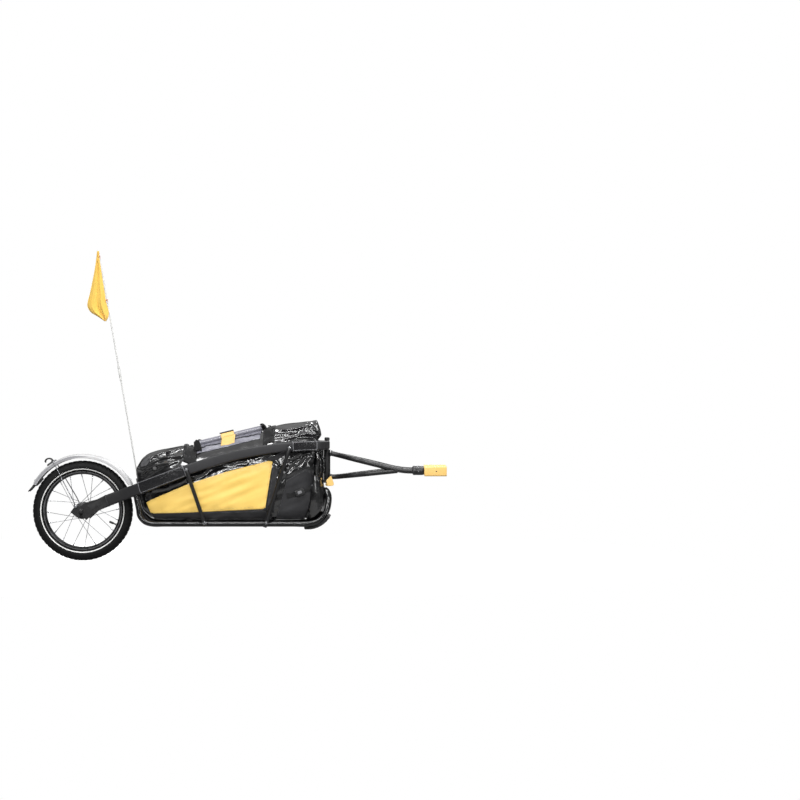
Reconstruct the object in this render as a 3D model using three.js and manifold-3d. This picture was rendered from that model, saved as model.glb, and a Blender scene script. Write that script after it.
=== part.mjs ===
// A single wheel touring trailer: a beam frame with a roll-top bag, one rear wheel under a fender, a
// pennant on a pole, and a yoke that swings on an upright pivot and clips on to a bicycle's rear axle.
// Millimetres, +Z up, +X towards the bicycle, +Y to the left. The origin lies on the ground, under the
// middle of the overall length, on the centre plane.
import * as THREE from 'three';
import { mergeVertices } from 'three/addons/utils/BufferGeometryUtils.js';
import Module from 'manifold-3d';

const wasm = await Module();
wasm.setup();

// Shared clearances
const gap = 0.3;
const overrun = 3;
const mergeReach = 0.001;

// Wheel
const tyreRadius = 199.5;
const tyreWidth = 47;
const tyreWall = 3.2;
const tyreSegments = 36;
const tyreSectionHeight = 41.5;
const rimFlangeHeight = 5.5;
const rimDepth = 7.1;
const rimFlangeRadius = tyreRadius - tyreSectionHeight;
const rimBedRadius = rimFlangeRadius - rimFlangeHeight;
const rimInnerRadius = rimBedRadius - rimDepth;
const rimWidth = 25;
const rimFlangeWall = 2;
const rimNeckWidth = 12;
const beadThickness = 3;
const tubeClearance = 5;
const wheelToBag = 17.5;
const wheelZ = tyreRadius;

// Hub, bearings and axle
const hubWidth = 104;
const hubBarrelRadius = 13;
const flangeRadius = 33;
const flangeThickness = 3;
const flangeSpacing = 56;
const spokeCircleRadius = 29.5;
const bearingOuterRadius = 11;
const bearingWidth = 7;
const bearingSeatWall = 3;
const axleRadius = 5;
const axleBoreRadius = 3;
const spacerRadius = 8;
const spacerLength = 8;
const skewerRadius = 2.5;

// Spokes
const spokesPerSide = 10;
const spokeRadius = 1;
const spokeSides = 4;
const spokeFirstAngle = 2.5;
const spokeLeadAngle = 72;
const nippleRadius = 2;
const nippleLength = 12;

// Valve
const valveAngle = -23;
const valveRadius = 3;
const valveCapRadius = 4.4;
const valveCapLength = 18;
const valveReach = 31.4;
const valveTipRadius = rimInnerRadius - valveReach;

// Fender, flap, stay and light bracket
const fenderClearance = 26.5;
const fenderRadius = tyreRadius + fenderClearance;
const fenderWidth = 60;
const fenderSkirt = 16;
const fenderWall = 2;
const fenderFrontAngle = 28.5;
const fenderRearAngle = 151;
const fenderSteps = 18;
const stayRadius = 2;
const stayAngle = 120.4;
const flapLength = 38;
const flapArch = 22;
const flapWall = 3;
const flapWidth = 52;
const bracketWidth = 16;
const bracketWall = 5;
const bracketHeight = 26;

// Dropouts and axle fasteners
const dropoutThickness = 12;
const dropoutProng = 7;
const dropoutTip = 42;
const dropoutFoot = 26;
const eyeletRadius = 6.5;
const eyeletBack = 21;
const eyeletUp = 19;
const slotHalfWidth = axleRadius + gap;
const skewerNutRadius = 8.5;
const skewerNutLength = 12;
const leverRadius = 7;
const leverLength = 62;
const leverTilt = 22;

// Places along the trailer
const bagRearX = -400;
const wheelX = bagRearX - wheelToBag - tyreRadius;

// Side beams: centre line, plan and height
const beamThickness = 22;
const beamCorner = 6;
const beamRearHeight = 46;
const beamFrontHeight = 34;
const beamRearReach = 103;
const beamRearX = wheelX + beamRearReach;
const beamFrontX = 330;
const beamRearY = 61;
const beamMidY = 139;
const beamFrontY = 92;
const beamRearRise = 41;
const beamRearZ = wheelZ + beamRearRise;
const beamFrontZ = 461;

// Front crossmember and head
const pivotX = 359;
const crossTopZ = beamFrontZ + beamFrontHeight / 2;
const crossBottomZ = beamFrontZ - beamFrontHeight / 2;
const columnWidth = 28;
const columnRearX = 325;
const columnFrontX = 345;
const columnBottomZ = 266;
const columnSink = 12;
const lugThickness = 10;
const lowerLugTopZ = 321;
const lugRadius = 15;

// Base rails
const railRadius = 11;
const railZ = 151;
const railMidY = 105;
const railRearTopY = 77;
const railHeadY = 26;
const railFrontBend = 78;
const railRearBend = 55;
const railFrontX = 286;
const railRearX = -330;
const railRearTopShare = 0.062;
const railLegRise = 32;
const railHeadX = 352;
const railHeadZ = 281;
const railEndX = 333;
const railEndY = 10;
const railEndZ = 283;
const crossbarRadius = 8;
const crossbarSides = 12;
const crossbarRearX = -200;
const crossbarFrontX = 150;
const strutRadius = 7.5;
const strutRearTopX = -191.5;
const strutRearTopZ = 373;
const strutFrontTopX = 219;
const strutFrontTopZ = 462;
const strutFootX = 120;

// Skid pad
const skidWall = 12;
const skidHalfWidth = 84;

// Bag
const bagSideRoom = 3;
const flapClearance = 0.5;
const flapRearStartX = -376;
const flapRearEndX = -199;
const flapFrontStartX = 226;
const flapFrontEndX = 316;
const coverWall = 2.5;
const panelWall = 1.6;
const rollRadius = 14.5;
const rollRearX = -160;
const rollFrontX = 99;
const rollRearZ = 466;
const rollFrontZ = 529;
const gripWall = 3;
const gripLength = 54;
const gripPlaceShare = 0.475;
const strapWall = 3;
const strapRearX = -213;
const strapRearWidth = 51;
const strapFrontX = 108;
const strapFrontWidth = 42;
const strapRearDrop = 58;
const strapFrontDrop = 48;

// Flag pole and pennant
const poleRadius = 2.6;
const poleSetOut = 16.3;
const poleBottomX = -396;
const poleBottomZ = 252;
const poleTilt = 9.85;
const poleLength = 1008;
const poleJointLength = 60;
const poleJointRadius = 4.4;
const socketRadius = 8;
const socketLength = 74;
const socketLug = 19;
const flagHoist = 200;
const flagDrop = 283;
const flagWall = 1.4;

// Yoke
const armRadius = 10;
const armSides = 8;
const braceRadius = 9.5;
const steererRadius = 13;
const steererBore = 6.6;
const bushingFlange = 2;
const bushingLength = 16;
const pivotPinRadius = 5;
const armUpperZ = 429.5;
const armLowerZ = 333.5;
const armRootX = 369;
const armRootY = 10.6;
const hitchX = 794.4;
const hitchZ = 359.5;
const hitchY = 100;
const collarRadius = 15.5;
const collarRearX = 702;
const collarFrontX = 746;
const sleeveRearX = 746.7;
const sleeveLength = 89;
const sleeveHeight = 40;
const sleeveWidth = 40;
const sleeveWall = 3;
const sleeveTravel = 24;
const clawHalfHeight = 13;
const axleSlot = 5.2;

// Shape helpers

// A solid between rings of equal point counts, closed by a fan at each end.
function loft(rings) {
  const count = rings[0].length;
  const positions = rings.flat().flatMap((p) => [p.x, p.y, p.z]);
  const index = [];
  for (let i = 0; i + 1 < rings.length; i += 1) {
    for (let j = 0; j < count; j += 1) {
      const a = i * count + j;
      const b = i * count + ((j + 1) % count);
      index.push(a, b, b + count, a, b + count, a + count);
    }
  }
  for (const [ring, flip] of [[0, true], [rings.length - 1, false]]) {
    const centre = new THREE.Vector3();
    rings[ring].forEach((p) => centre.addScaledVector(p, 1 / count));
    const middle = positions.length / 3;
    positions.push(centre.x, centre.y, centre.z);
    for (let j = 0; j < count; j += 1) {
      const a = ring * count + j;
      const b = ring * count + ((j + 1) % count);
      index.push(middle, flip ? b : a, flip ? a : b);
    }
  }
  const geometry = new THREE.BufferGeometry();
  geometry.setAttribute('position', new THREE.Float32BufferAttribute(positions, 3));
  geometry.setIndex(index);
  return facingOut(geometry);
}

// Turns a closed mesh's faces round if they point in.
function facingOut(geometry) {
  const p = geometry.attributes.position;
  const index = geometry.index.array;
  const [a, b, c] = [new THREE.Vector3(), new THREE.Vector3(), new THREE.Vector3()];
  let volume = 0;
  for (let i = 0; i < index.length; i += 3) {
    a.fromBufferAttribute(p, index[i]);
    b.fromBufferAttribute(p, index[i + 1]);
    c.fromBufferAttribute(p, index[i + 2]);
    volume += a.dot(b.cross(c));
  }
  if (volume < 0) {
    for (let i = 0; i < index.length; i += 3) {
      [index[i + 1], index[i + 2]] = [index[i + 2], index[i + 1]];
    }
  }
  return geometry;
}

function merged(geometry) {
  const bare = geometry.clone();
  bare.deleteAttribute('normal');
  bare.deleteAttribute('uv');
  return facingOut(mergeVertices(bare, mergeReach));
}

function toManifold(geometry) {
  const bare = merged(geometry);
  const mesh = new wasm.Mesh({
    numProp: 3,
    vertProperties: new Float32Array(bare.attributes.position.array),
    triVerts: new Uint32Array(bare.index.array),
  });
  return new wasm.Manifold(mesh);
}

function fromManifold(solid) {
  const mesh = solid.getMesh();
  const geometry = new THREE.BufferGeometry();
  const points = new Float32Array(mesh.vertProperties);
  geometry.setAttribute('position', new THREE.Float32BufferAttribute(points, 3));
  geometry.setIndex(Array.from(mesh.triVerts));
  return geometry;
}

function union(...geometries) {
  return fromManifold(geometries.map(toManifold).reduce((sum, next) => sum.add(next)));
}

function cut(geometry, ...tools) {
  return fromManifold(tools.map(toManifold).reduce((sum, next) => sum.subtract(next), toManifold(geometry)));
}

function intersect(geometry, other) {
  return fromManifold(toManifold(geometry).intersect(toManifold(other)));
}

function block(x0, x1, y0, y1, z0, z1) {
  const box = new THREE.BoxGeometry(x1 - x0, y1 - y0, z1 - z0);
  return box.translate((x0 + x1) / 2, (y0 + y1) / 2, (z0 + z1) / 2);
}

function polygon(radius, sides) {
  const points = [];
  for (let i = 0; i < sides; i += 1) {
    const angle = ((i + 0.5) / sides) * 2 * Math.PI;
    points.push(new THREE.Vector2(radius * Math.cos(angle), radius * Math.sin(angle)));
  }
  return new THREE.Shape(points);
}

const at = (x, y, z) => new THREE.Vector3(x, y, z);

// A round rod between two points.
function rod(from, to, radius, sides = 10) {
  const path = new THREE.LineCurve3(from, to);
  return new THREE.ExtrudeGeometry(polygon(radius, sides), { extrudePath: path, steps: 1 });
}

// A round tube along a smooth curve through points.
function tube(points, radius, sides, steps) {
  const path = new THREE.CatmullRomCurve3(points, false, 'centripetal');
  return new THREE.ExtrudeGeometry(polygon(radius, sides), { extrudePath: path, steps });
}

// A ring or solid of revolution about the Y axis; the profile lists [radius, y].
function lathe(profile, segments) {
  const points = profile.map(([r, y]) => new THREE.Vector2(r, y));
  if (profile[0][0] > 0) points.push(points[0].clone());
  return merged(new THREE.LatheGeometry(points, segments));
}

// A plate cut from an outline in the XZ plane, between two distances along Y.
function plate(outline, y0, y1) {
  const shape = new THREE.Shape(outline.map(([x, z]) => new THREE.Vector2(x, z)));
  const solid = new THREE.ExtrudeGeometry(shape, { depth: y1 - y0, bevelEnabled: false });
  return solid.rotateX(Math.PI / 2).translate(0, y1, 0);
}

// Straight-line interpolation in a table of [key, value] rows.
function along(table, x) {
  if (x <= table[0][0]) return table[0][1];
  for (let i = 1; i < table.length; i += 1) {
    const [x0, v0] = table[i - 1];
    const [x1, v1] = table[i];
    if (x <= x1) return v0 + ((v1 - v0) * (x - x0)) / (x1 - x0);
  }
  return table[table.length - 1][1];
}

const mirrored = (geometry) => {
  const copy = geometry.clone();
  copy.scale(1, -1, 1);
  return facingOut(merged(copy));
};

// Wheel

const degrees = THREE.MathUtils.degToRad;
const tyreMidRadius = (tyreRadius + rimFlangeRadius) / 2 - tyreWall;
const tyreHalfHeight = tyreRadius - tyreMidRadius;
const tyreEdge = degrees(136);

function tyreArc(inset, steps) {
  const arc = [];
  for (let i = 0; i <= steps; i += 1) {
    const a = tyreEdge * (1 - (2 * i) / steps);
    const r = tyreMidRadius + (tyreHalfHeight - inset) * Math.cos(a);
    arc.push([r, (tyreWidth / 2 - inset) * Math.sin(a)]);
  }
  return arc;
}

function makeTyre() {
  const beadOuter = rimWidth / 2 - rimFlangeWall - gap;
  const beadInner = beadOuter - beadThickness;
  const beadFoot = rimBedRadius + gap;
  const beadTop = rimFlangeRadius + gap;
  const side = (sign) => [
    [beadTop, sign * beadOuter], [beadFoot, sign * beadOuter],
    [beadFoot, sign * beadInner], [beadTop + tyreWall, sign * beadInner],
  ];
  const outer = tyreArc(0, 8);
  const inner = tyreArc(tyreWall, 4).reverse();
  return lathe([...outer, ...side(-1), ...inner, ...side(1).reverse()], tyreSegments);
}

function makeInnerTube() {
  const radius = tyreHalfHeight - tyreWall - tubeClearance;
  const centre = tyreMidRadius + tubeClearance / 4;
  const profile = [];
  const sides = 6;
  for (let i = 0; i < sides; i += 1) {
    const a = (i / sides) * 2 * Math.PI;
    profile.push([centre + radius * Math.cos(a), radius * Math.sin(a)]);
  }
  return union(lathe(profile, tyreSegments), makeValve());
}

function aimed(geometry, angle) {
  return geometry.rotateY(-degrees(angle));
}

function makeRim() {
  const half = rimWidth / 2;
  const inside = half - rimFlangeWall;
  const shoulder = rimBedRadius - rimFlangeWall;
  const ring = lathe([
    [rimInnerRadius, -rimNeckWidth / 2], [shoulder, -half], [rimFlangeRadius, -half],
    [rimFlangeRadius, -inside], [rimBedRadius, -inside], [rimBedRadius, inside],
    [rimFlangeRadius, inside], [rimFlangeRadius, half], [shoulder, half], [rimInnerRadius, rimNeckWidth / 2],
  ], tyreSegments);
  const hole = rod(at(rimInnerRadius - overrun, 0, 0), at(rimBedRadius + overrun, 0, 0), valveRadius + gap);
  return cut(ring, aimed(hole, valveAngle));
}

function makeValve() {
  const stem = rod(at(valveTipRadius, 0, 0), at(tyreMidRadius, 0, 0), valveRadius, 8);
  const cap = rod(at(valveTipRadius, 0, 0), at(valveTipRadius + valveCapLength, 0, 0), valveCapRadius, 8);
  return aimed(union(stem, cap), valveAngle);
}

// Ten crossed spokes on one side of the hub, joined where they cross.
function makeSpokes(side, firstAngle) {
  const parts = [];
  const flangeOuter = (flangeSpacing + flangeThickness) / 2 + spokeRadius;
  const flangeInner = (flangeSpacing - flangeThickness) / 2 - spokeRadius - gap;
  const rimEnd = rimInnerRadius - nippleRadius / 2 - gap;
  for (let i = 0; i < spokesPerSide; i += 1) {
    const rimAngle = firstAngle + (i * 360) / spokesPerSide;
    const lead = i % 2 === 0 ? -spokeLeadAngle : spokeLeadAngle;
    const hubAngle = degrees(rimAngle + lead);
    const out = degrees(rimAngle);
    const elbow = at(spokeCircleRadius * Math.cos(hubAngle), side * flangeInner, spokeCircleRadius * Math.sin(hubAngle));
    const end = at(rimEnd * Math.cos(out), side * spokeRadius * 2, rimEnd * Math.sin(out));
    const run = end.clone().sub(elbow).normalize();
    parts.push(rod(elbow, end, spokeRadius, spokeSides));
    parts.push(rod(end.clone().addScaledVector(run, -nippleLength), end, nippleRadius, spokeSides));
    const neck = elbow.clone().setY(side * flangeOuter);
    parts.push(rod(elbow, neck, spokeRadius, spokeSides));
  }
  return union(...parts);
}

function makeHubShell() {
  const end = hubWidth / 2 - spacerLength;
  const seat = end - bearingWidth;
  const bore = axleRadius + gap;
  const flangeIn = (flangeSpacing - flangeThickness) / 2;
  const flangeOut = (flangeSpacing + flangeThickness) / 2;
  const seatRadius = bearingOuterRadius + gap;
  const half = (s) => [
    [hubBarrelRadius, s * flangeIn], [flangeRadius, s * flangeIn], [flangeRadius, s * flangeOut],
    [seatRadius + bearingSeatWall, s * flangeOut], [seatRadius + bearingSeatWall, s * end], [seatRadius, s * end],
    [seatRadius, s * seat], [bore, s * seat],
  ];
  const shell = lathe([...half(-1), ...half(1).reverse()], 20);
  const holes = [];
  for (let i = 0; i < spokesPerSide; i += 1) {
    for (const [side, first] of [[-1, spokeFirstAngle], [1, spokeFirstAngle + 180 / spokesPerSide]]) {
      const a = degrees(first + spokeLeadAngle + (i * 360) / spokesPerSide);
      const [x, z] = [spokeCircleRadius * Math.cos(a), spokeCircleRadius * Math.sin(a)];
      const hole = rod(at(x, side * (flangeIn - overrun), z), at(x, side * (flangeOut + overrun), z),
        spokeRadius + 2 * gap, spokeSides);
      holes.push(hole);
    }
  }
  return cut(shell, ...holes);
}

function makeBearing(side) {
  const inner = axleRadius + gap;
  const outer = bearingOuterRadius;
  const end = hubWidth / 2 - spacerLength;
  const [y0, y1] = [side * (end - bearingWidth + gap), side * end];
  return lathe([[inner, y0], [outer, y0], [outer, y1], [inner, y1]], 16);
}

function makeAxle() {
  const half = hubWidth / 2 + dropoutThickness - gap;
  const face = hubWidth / 2 - gap;
  const spacer = face - spacerLength + 2 * gap;
  return lathe([
    [axleBoreRadius, -half], [axleRadius, -half], [axleRadius, -face], [spacerRadius, -face],
    [spacerRadius, -spacer], [axleRadius, -spacer], [axleRadius, spacer], [spacerRadius, spacer],
    [spacerRadius, face], [axleRadius, face], [axleRadius, half], [axleBoreRadius, half],
  ], 12);
}

const dropoutOuterY = hubWidth / 2 + dropoutThickness;

// The skewer's rod with the nut on its right end.
function makeSkewer() {
  const inner = -(dropoutOuterY + gap);
  const outer = inner - skewerNutLength;
  const chamfer = skewerNutRadius / 4;
  const left = dropoutOuterY + gap;
  return lathe([
    [0, outer], [skewerNutRadius - chamfer, outer], [skewerNutRadius, outer + chamfer],
    [skewerNutRadius, inner], [skewerRadius, inner], [skewerRadius, left], [0, left],
  ], 16);
}

// The lever lies along the beam when closed; its cam body turns about an upright axis.
const leverShares = [[0, -0.7], [0.5, -0.6], [1, -1], [1.07, 0], [1, 1], [0.5, 0.6], [0, 0.7]];

function makeSkewerLever() {
  const y0 = dropoutOuterY + 2 * gap;
  const cam = rod(at(0, y0 + leverRadius, -leverRadius), at(0, y0 + leverRadius, leverRadius), leverRadius, 14);
  const outline = leverShares.map(([x, z]) => [x * leverLength, z * leverRadius]);
  const arm = plate(outline, y0 + leverRadius * 0.6, y0 + leverRadius * 1.4);
  return union(cam, arm);
}

// Fender and what it carries

// A point at an angle on a circle about the wheel, in the middle plane.
const round = (radius, angle, y = 0) => at(
  wheelX + radius * Math.cos(degrees(angle)), y, wheelZ + radius * Math.sin(degrees(angle)));

// The fender's section: a low arched crown with a skirt down each side. Shares of width and depth.
const fenderCrownShares = [[0.5, -1], [0.495, -0.4], [0.41, -0.14], [0.17, 0]];

function fenderSection(inset) {
  const half = fenderCrownShares.map(([w, d]) => {
    const foot = d === -1 ? 0 : inset;
    return [w * (fenderWidth - 2 * inset), d * (fenderSkirt - foot) - foot];
  });
  const left = half.map(([w, d]) => [-w, d]).reverse();
  return [...half, ...left];
}

function makeFender() {
  const outline = [...fenderSection(0), ...fenderSection(fenderWall).reverse()];
  const rings = [];
  for (let i = 0; i <= fenderSteps; i += 1) {
    const angle = fenderFrontAngle + ((fenderRearAngle - fenderFrontAngle) * i) / fenderSteps;
    rings.push(outline.map(([y, d]) => round(fenderRadius + d, angle, y)));
  }
  return closedStrip(rings);
}

// A solid swept from rings of one C-shaped outline: the ends are closed by pairs across the wall, and
// both faces of the wall are split along the same diagonals.
function closedStrip(rings) {
  const count = rings[0].length;
  const positions = rings.flat().flatMap((p) => [p.x, p.y, p.z]);
  const index = [];
  for (let i = 0; i + 1 < rings.length; i += 1) {
    for (let j = 0; j < count; j += 1) {
      const a = i * count + j;
      const b = i * count + ((j + 1) % count);
      if (j < count / 2) index.push(a, b, b + count, a, b + count, a + count);
      else index.push(a, b, a + count, b, b + count, a + count);
    }
  }
  const last = (rings.length - 1) * count;
  for (let j = 0; j + 1 < count / 2; j += 1) {
    const k = count - 1 - j;
    index.push(j, k, k - 1, j, k - 1, j + 1);
    index.push(last + j, last + k - 1, last + k, last + j, last + j + 1, last + k - 1);
  }
  const geometry = new THREE.BufferGeometry();
  geometry.setAttribute('position', new THREE.Float32BufferAttribute(positions, 3));
  geometry.setIndex(index);
  return facingOut(geometry);
}

// The flap hangs inside the fender's rear end and flares away from the tyre.
const flapStationShares = [[-0.5, 0, 1], [0, 0, 1], [0.35, 0.035, 1.03], [0.7, 0.09, 1.02], [1, 0.16, 0.84]];

function makeMudflap() {
  const start = fenderRadius - fenderWall - gap - fenderSkirt * 0.06;
  const arch = [-0.5, -0.25, 0, 0.25, 0.5];
  const spread = degrees(fenderRearAngle);
  const tangent = at(-Math.sin(spread), 0, Math.cos(spread)).normalize();
  const outward = at(Math.cos(spread), 0, Math.sin(spread));
  const foot = round(start, fenderRearAngle);
  const rings = flapStationShares.map(([run, flare, width]) => {
    const lift = run < 0 ? -((run * flapLength) ** 2) / (2 * fenderRadius) : flare * flapLength;
    const middle = foot.clone().addScaledVector(tangent, run * flapLength).addScaledVector(outward, lift);
    const point = (share, depth) => middle.clone().add(at(0, share * flapWidth * width, 0))
      .addScaledVector(outward, -depth - flapArch * share * share * (1 - Math.max(run, 0) * 0.5));
    const top = arch.map((share) => point(share, 0));
    const bottom = arch.map((share) => point(share, flapWall)).reverse();
    return [...top, ...bottom];
  });
  return closedStrip(rings);
}

// Slot, eyelet and outline of a dropout, as shares of its length and depth from the axle's centre.
const dropoutReach = beamRearX - gap - wheelX;
const slotTopAngles = [180, 144, 108, 72, 36, 0];
const eyeletX = wheelX - eyeletBack;
const eyeletZ = wheelZ + eyeletUp;
const eyeletShares = [[1.2, 0.6], [0.5, 1], [-0.5, 1], [-1, 0.3], [-1, -0.6]];
const dropoutTopShares = [[0.55, 0.955], [0.16, 0.74], [0.02, 0.5], [-0.06, 0.44]];
const dropoutBaseShares = [[0.2, -0.69], [0.55, -0.055]];

function makeDropout(side) {
  const top = dropoutTopShares.map(([x, z]) => [wheelX + x * dropoutReach, wheelZ + z * beamRearHeight]);
  const base = dropoutBaseShares.map(([x, z]) => [wheelX + x * dropoutReach, wheelZ + z * dropoutFoot * 2]);
  const s = slotHalfWidth;
  const slotTop = slotTopAngles.map((angle) => [
    wheelX + s * Math.cos(degrees(angle)), wheelZ + (s + gap) * Math.sin(degrees(angle))]);
  const mouth = [
    [wheelX - dropoutTip, wheelZ - dropoutFoot * 0.15], [wheelX - dropoutTip * 0.6, wheelZ - dropoutFoot * 0.7],
    [wheelX - s - dropoutProng, wheelZ - dropoutFoot], [wheelX - s, wheelZ - dropoutFoot], ...slotTop,
    [wheelX + s, wheelZ - dropoutFoot], [wheelX + s + dropoutProng, wheelZ - dropoutFoot],
  ];
  const ear = eyeletShares.map(([x, z]) => [eyeletX + x * eyeletRadius, eyeletZ + z * eyeletRadius]);
  const weld = beamCurve.getPointAt(0);
  const run = beamCurve.getTangentAt(0);
  const joint = [-1, 1].map((sign) => [
    weld.x - run.x * gap - (sign * run.z * beamRearHeight) / 2,
    weld.z - run.z * gap + (sign * run.x * beamRearHeight) / 2]);
  const outline = [...joint, ...top, ...ear, ...mouth, ...base];
  const [y0, y1] = side < 0 ? [-dropoutOuterY, -hubWidth / 2] : [hubWidth / 2, dropoutOuterY];
  return plate(outline, y0, y1);
}

function makeStay() {
  const side = fenderWidth / 2 + stayRadius + 2 * gap;
  const over = fenderRadius + stayRadius + gap;
  const eyelet = dropoutOuterY + stayRadius + gap;
  const half = [
    at(eyeletX, eyelet, eyeletZ),
    at(eyeletX - dropoutTip * 0.25, eyelet, eyeletZ + dropoutTip * 0.6),
    round(rimInnerRadius, stayAngle + 1, (side + eyelet) / 2),
    round(over - fenderSkirt, stayAngle, side + stayRadius),
    round(over - fenderSkirt * 0.4, stayAngle, side),
    round(over - fenderSkirt * 0.08, stayAngle, side * 0.86),
    round(over + stayRadius * 0.3, stayAngle, side * 0.5),
  ];
  const other = half.map((p) => at(p.x, -p.y, p.z)).reverse();
  return tube([...half, ...other], stayRadius, 5, 32);
}

// A flat strip bent along points in the XZ plane, with a wall and a width.
function strip(points, wall, width) {
  const curve = new THREE.CatmullRomCurve3(points.map(([x, z]) => at(x, 0, z)), false, 'centripetal');
  const steps = points.length * 3;
  const [one, two] = [[], []];
  for (let i = 0; i <= steps; i += 1) {
    const p = curve.getPoint(i / steps);
    const t = curve.getTangent(i / steps);
    one.push([p.x - (t.z * wall) / 2, p.z + (t.x * wall) / 2]);
    two.push([p.x + (t.z * wall) / 2, p.z - (t.x * wall) / 2]);
  }
  return plate([...one, ...two.reverse()], -width / 2, width / 2);
}

// A hook for a tail light: its foot lies on the fender's crown. Angle and height above the crown.
const bracketRouteShares = [[8.4, 0], [5, 0], [1.6, 0.05], [0.3, 0.3], [2, 0.75], [4.6, 0.95], [7, 0.8]];

function makeLightBracket() {
  const foot = fenderRadius + bracketWall / 2 + gap;
  const route = bracketRouteShares.map(([turn, lift]) => {
    const p = round(foot + lift * bracketHeight * 0.8, stayAngle + 1.8 + turn);
    return [p.x, p.z];
  });
  return strip(route, bracketWall, bracketWidth);
}

// Frame

// Shares of the beam's length from its rear end, of its widening, and of its rise.
const beamRouteShares = [
  [0, 0, 0], [0.076, 0.064, 0.112], [0.135, 0.27, 0.197], [0.206, 0.62, 0.3], [0.289, 0.89, 0.425],
  [0.4, 0.985, 0.587], [0.517, 1, 0.73], [0.634, 1, 0.85], [0.774, 0.985, 0.943],
];
const beamNoseShares = [[0.86, 0.87, 0.98], [0.94, 0.46, 0.997], [1, 0, 1]];
const bowShares = [[0.52, 0.66], [0.88, 0.32], [1, 0]];

function beamPath() {
  const length = beamFrontX - beamRearX;
  const rise = beamFrontZ - beamRearZ;
  const row = ([x, y, z], y0) => at(beamRearX + x * length, y0 + y * (beamMidY - y0), beamRearZ + z * rise);
  const bowX = pivotX - beamFrontX;
  const half = [
    ...beamRouteShares.map((share) => row(share, beamRearY)),
    ...beamNoseShares.map((share) => row(share, beamFrontY)),
    ...bowShares.map(([x, y]) => at(beamFrontX + x * bowX, y * beamFrontY, beamFrontZ)),
  ];
  const other = half.slice(0, -1).map((p) => at(p.x, -p.y, p.z)).reverse();
  return new THREE.CatmullRomCurve3([...half, ...other], false, 'centripetal');
}

const beamCurve = beamPath();
const beamCurveLength = beamCurve.getLength();
const beamJointShare = 0.446;
const beamStations = 48;
const jointStep = gap / beamCurveLength;

// The rounded rectangle of the beam where the path has run a share of its length.
function beamRing(share, proud) {
  const p = beamCurve.getPointAt(share);
  const t = beamCurve.getTangentAt(share);
  const side = new THREE.Vector3().crossVectors(at(0, 0, 1), t).normalize();
  const up = new THREE.Vector3().crossVectors(t, side);
  const x = Math.min(Math.max((p.x - beamRearX) / (beamFrontX - beamRearX), 0), 1);
  const height = beamRearHeight + x * (beamFrontHeight - beamRearHeight) + 2 * proud;
  const half = [beamThickness / 2 + proud, height / 2];
  const corner = beamCorner + proud;
  const ring = [];
  for (let q = 0; q < 4; q += 1) {
    for (const turn of [0.12, 0.88]) {
      const a = ((q + turn) * Math.PI) / 2;
      const sx = q === 0 || q === 3 ? 1 : -1;
      const sz = q < 2 ? 1 : -1;
      const dx = sx * (half[0] - corner) + corner * Math.cos(a);
      const dz = sz * (half[1] - corner) + corner * Math.sin(a);
      ring.push(p.clone().addScaledVector(side, dx).addScaledVector(up, dz));
    }
  }
  return ring;
}

// The beam between two shares of its path. Its rings always stand at the same places, so that what is
// wrapped round it or cut to it has facets that run along its own.
function beamSolid(from, to, proud = 0) {
  const shares = [from];
  for (let i = 0; i <= beamStations; i += 1) {
    const share = i / beamStations;
    if (share > from + jointStep && share < to - jointStep) shares.push(share);
  }
  shares.push(to);
  return loft(shares.map((share) => beamRing(share, proud)));
}

const leftBeam = beamSolid(0, beamJointShare);

function makeCrossmember() {
  const bow = beamSolid(beamJointShare + jointStep, 1 - beamJointShare - jointStep);
  const hole = rod(at(pivotX, 0, crossBottomZ - overrun), at(pivotX, 0, crossTopZ + overrun), pivotPinRadius + gap, 16);
  return cut(bow, hole);
}

function makeHeadColumn() {
  const half = columnWidth / 2;
  const post = block(columnRearX, columnFrontX, -half, half, columnBottomZ, crossBottomZ + columnSink);
  const knee = block(columnRearX, pivotX - pivotPinRadius - overrun, -half, half, crossBottomZ, crossBottomZ + columnSink);
  const lugBottom = lowerLugTopZ - lugThickness;
  const lug = block(columnRearX + overrun, pivotX, -half, half, lugBottom, lowerLugTopZ);
  const nose = rod(at(pivotX, 0, lugBottom), at(pivotX, 0, lowerLugTopZ), half, 24);
  const hole = rod(at(pivotX, 0, lugBottom - overrun), at(pivotX, 0, lowerLugTopZ + overrun), pivotPinRadius + gap, 16);
  return cut(union(post, knee, lug, nose), hole);
}

// Base rails: up from the bottom run, behind to the beam and in front to the head column.
// Rows: an angle round the bend, and a share of the spread from the narrow end to the bottom run.
const railRearBendShares = [[176, 0.32], [205, 0.43], [238, 0.61], [270, 0.79]];
const railFrontBendShares = [[-90, 0.9], [-60, 0.76], [-32, 0.58], [-4, 0.36]];

function makeRail(proud) {
  const bend = (x, r, narrowY) => ([angle, share]) => at(
    x + r * Math.cos(degrees(angle)), narrowY + share * (railMidY - narrowY), railZ + r + r * Math.sin(degrees(angle)));
  const spread = (share) => railHeadY + share * (railMidY - railHeadY);
  const rearTop = beamCurve.getPointAt(railRearTopShare);
  return tube([
    at(rearTop.x, railRearTopY, rearTop.z),
    ...railRearBendShares.map(bend(railRearX, railRearBend, railRearTopY)),
    at(railRearX + railRearBend, railMidY, railZ),
    at(0, railMidY, railZ),
    at(railFrontX - railFrontBend * 0.85, railMidY, railZ),
    ...railFrontBendShares.map(bend(railFrontX, railFrontBend, railHeadY)),
    at(railFrontX + railFrontBend, spread(0.2), railZ + railFrontBend + railLegRise),
    at(railHeadX, spread(0.03), railHeadZ),
    at(railEndX, railEndY, railEndZ),
  ], railRadius + proud, 8, 34);
}

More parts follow.
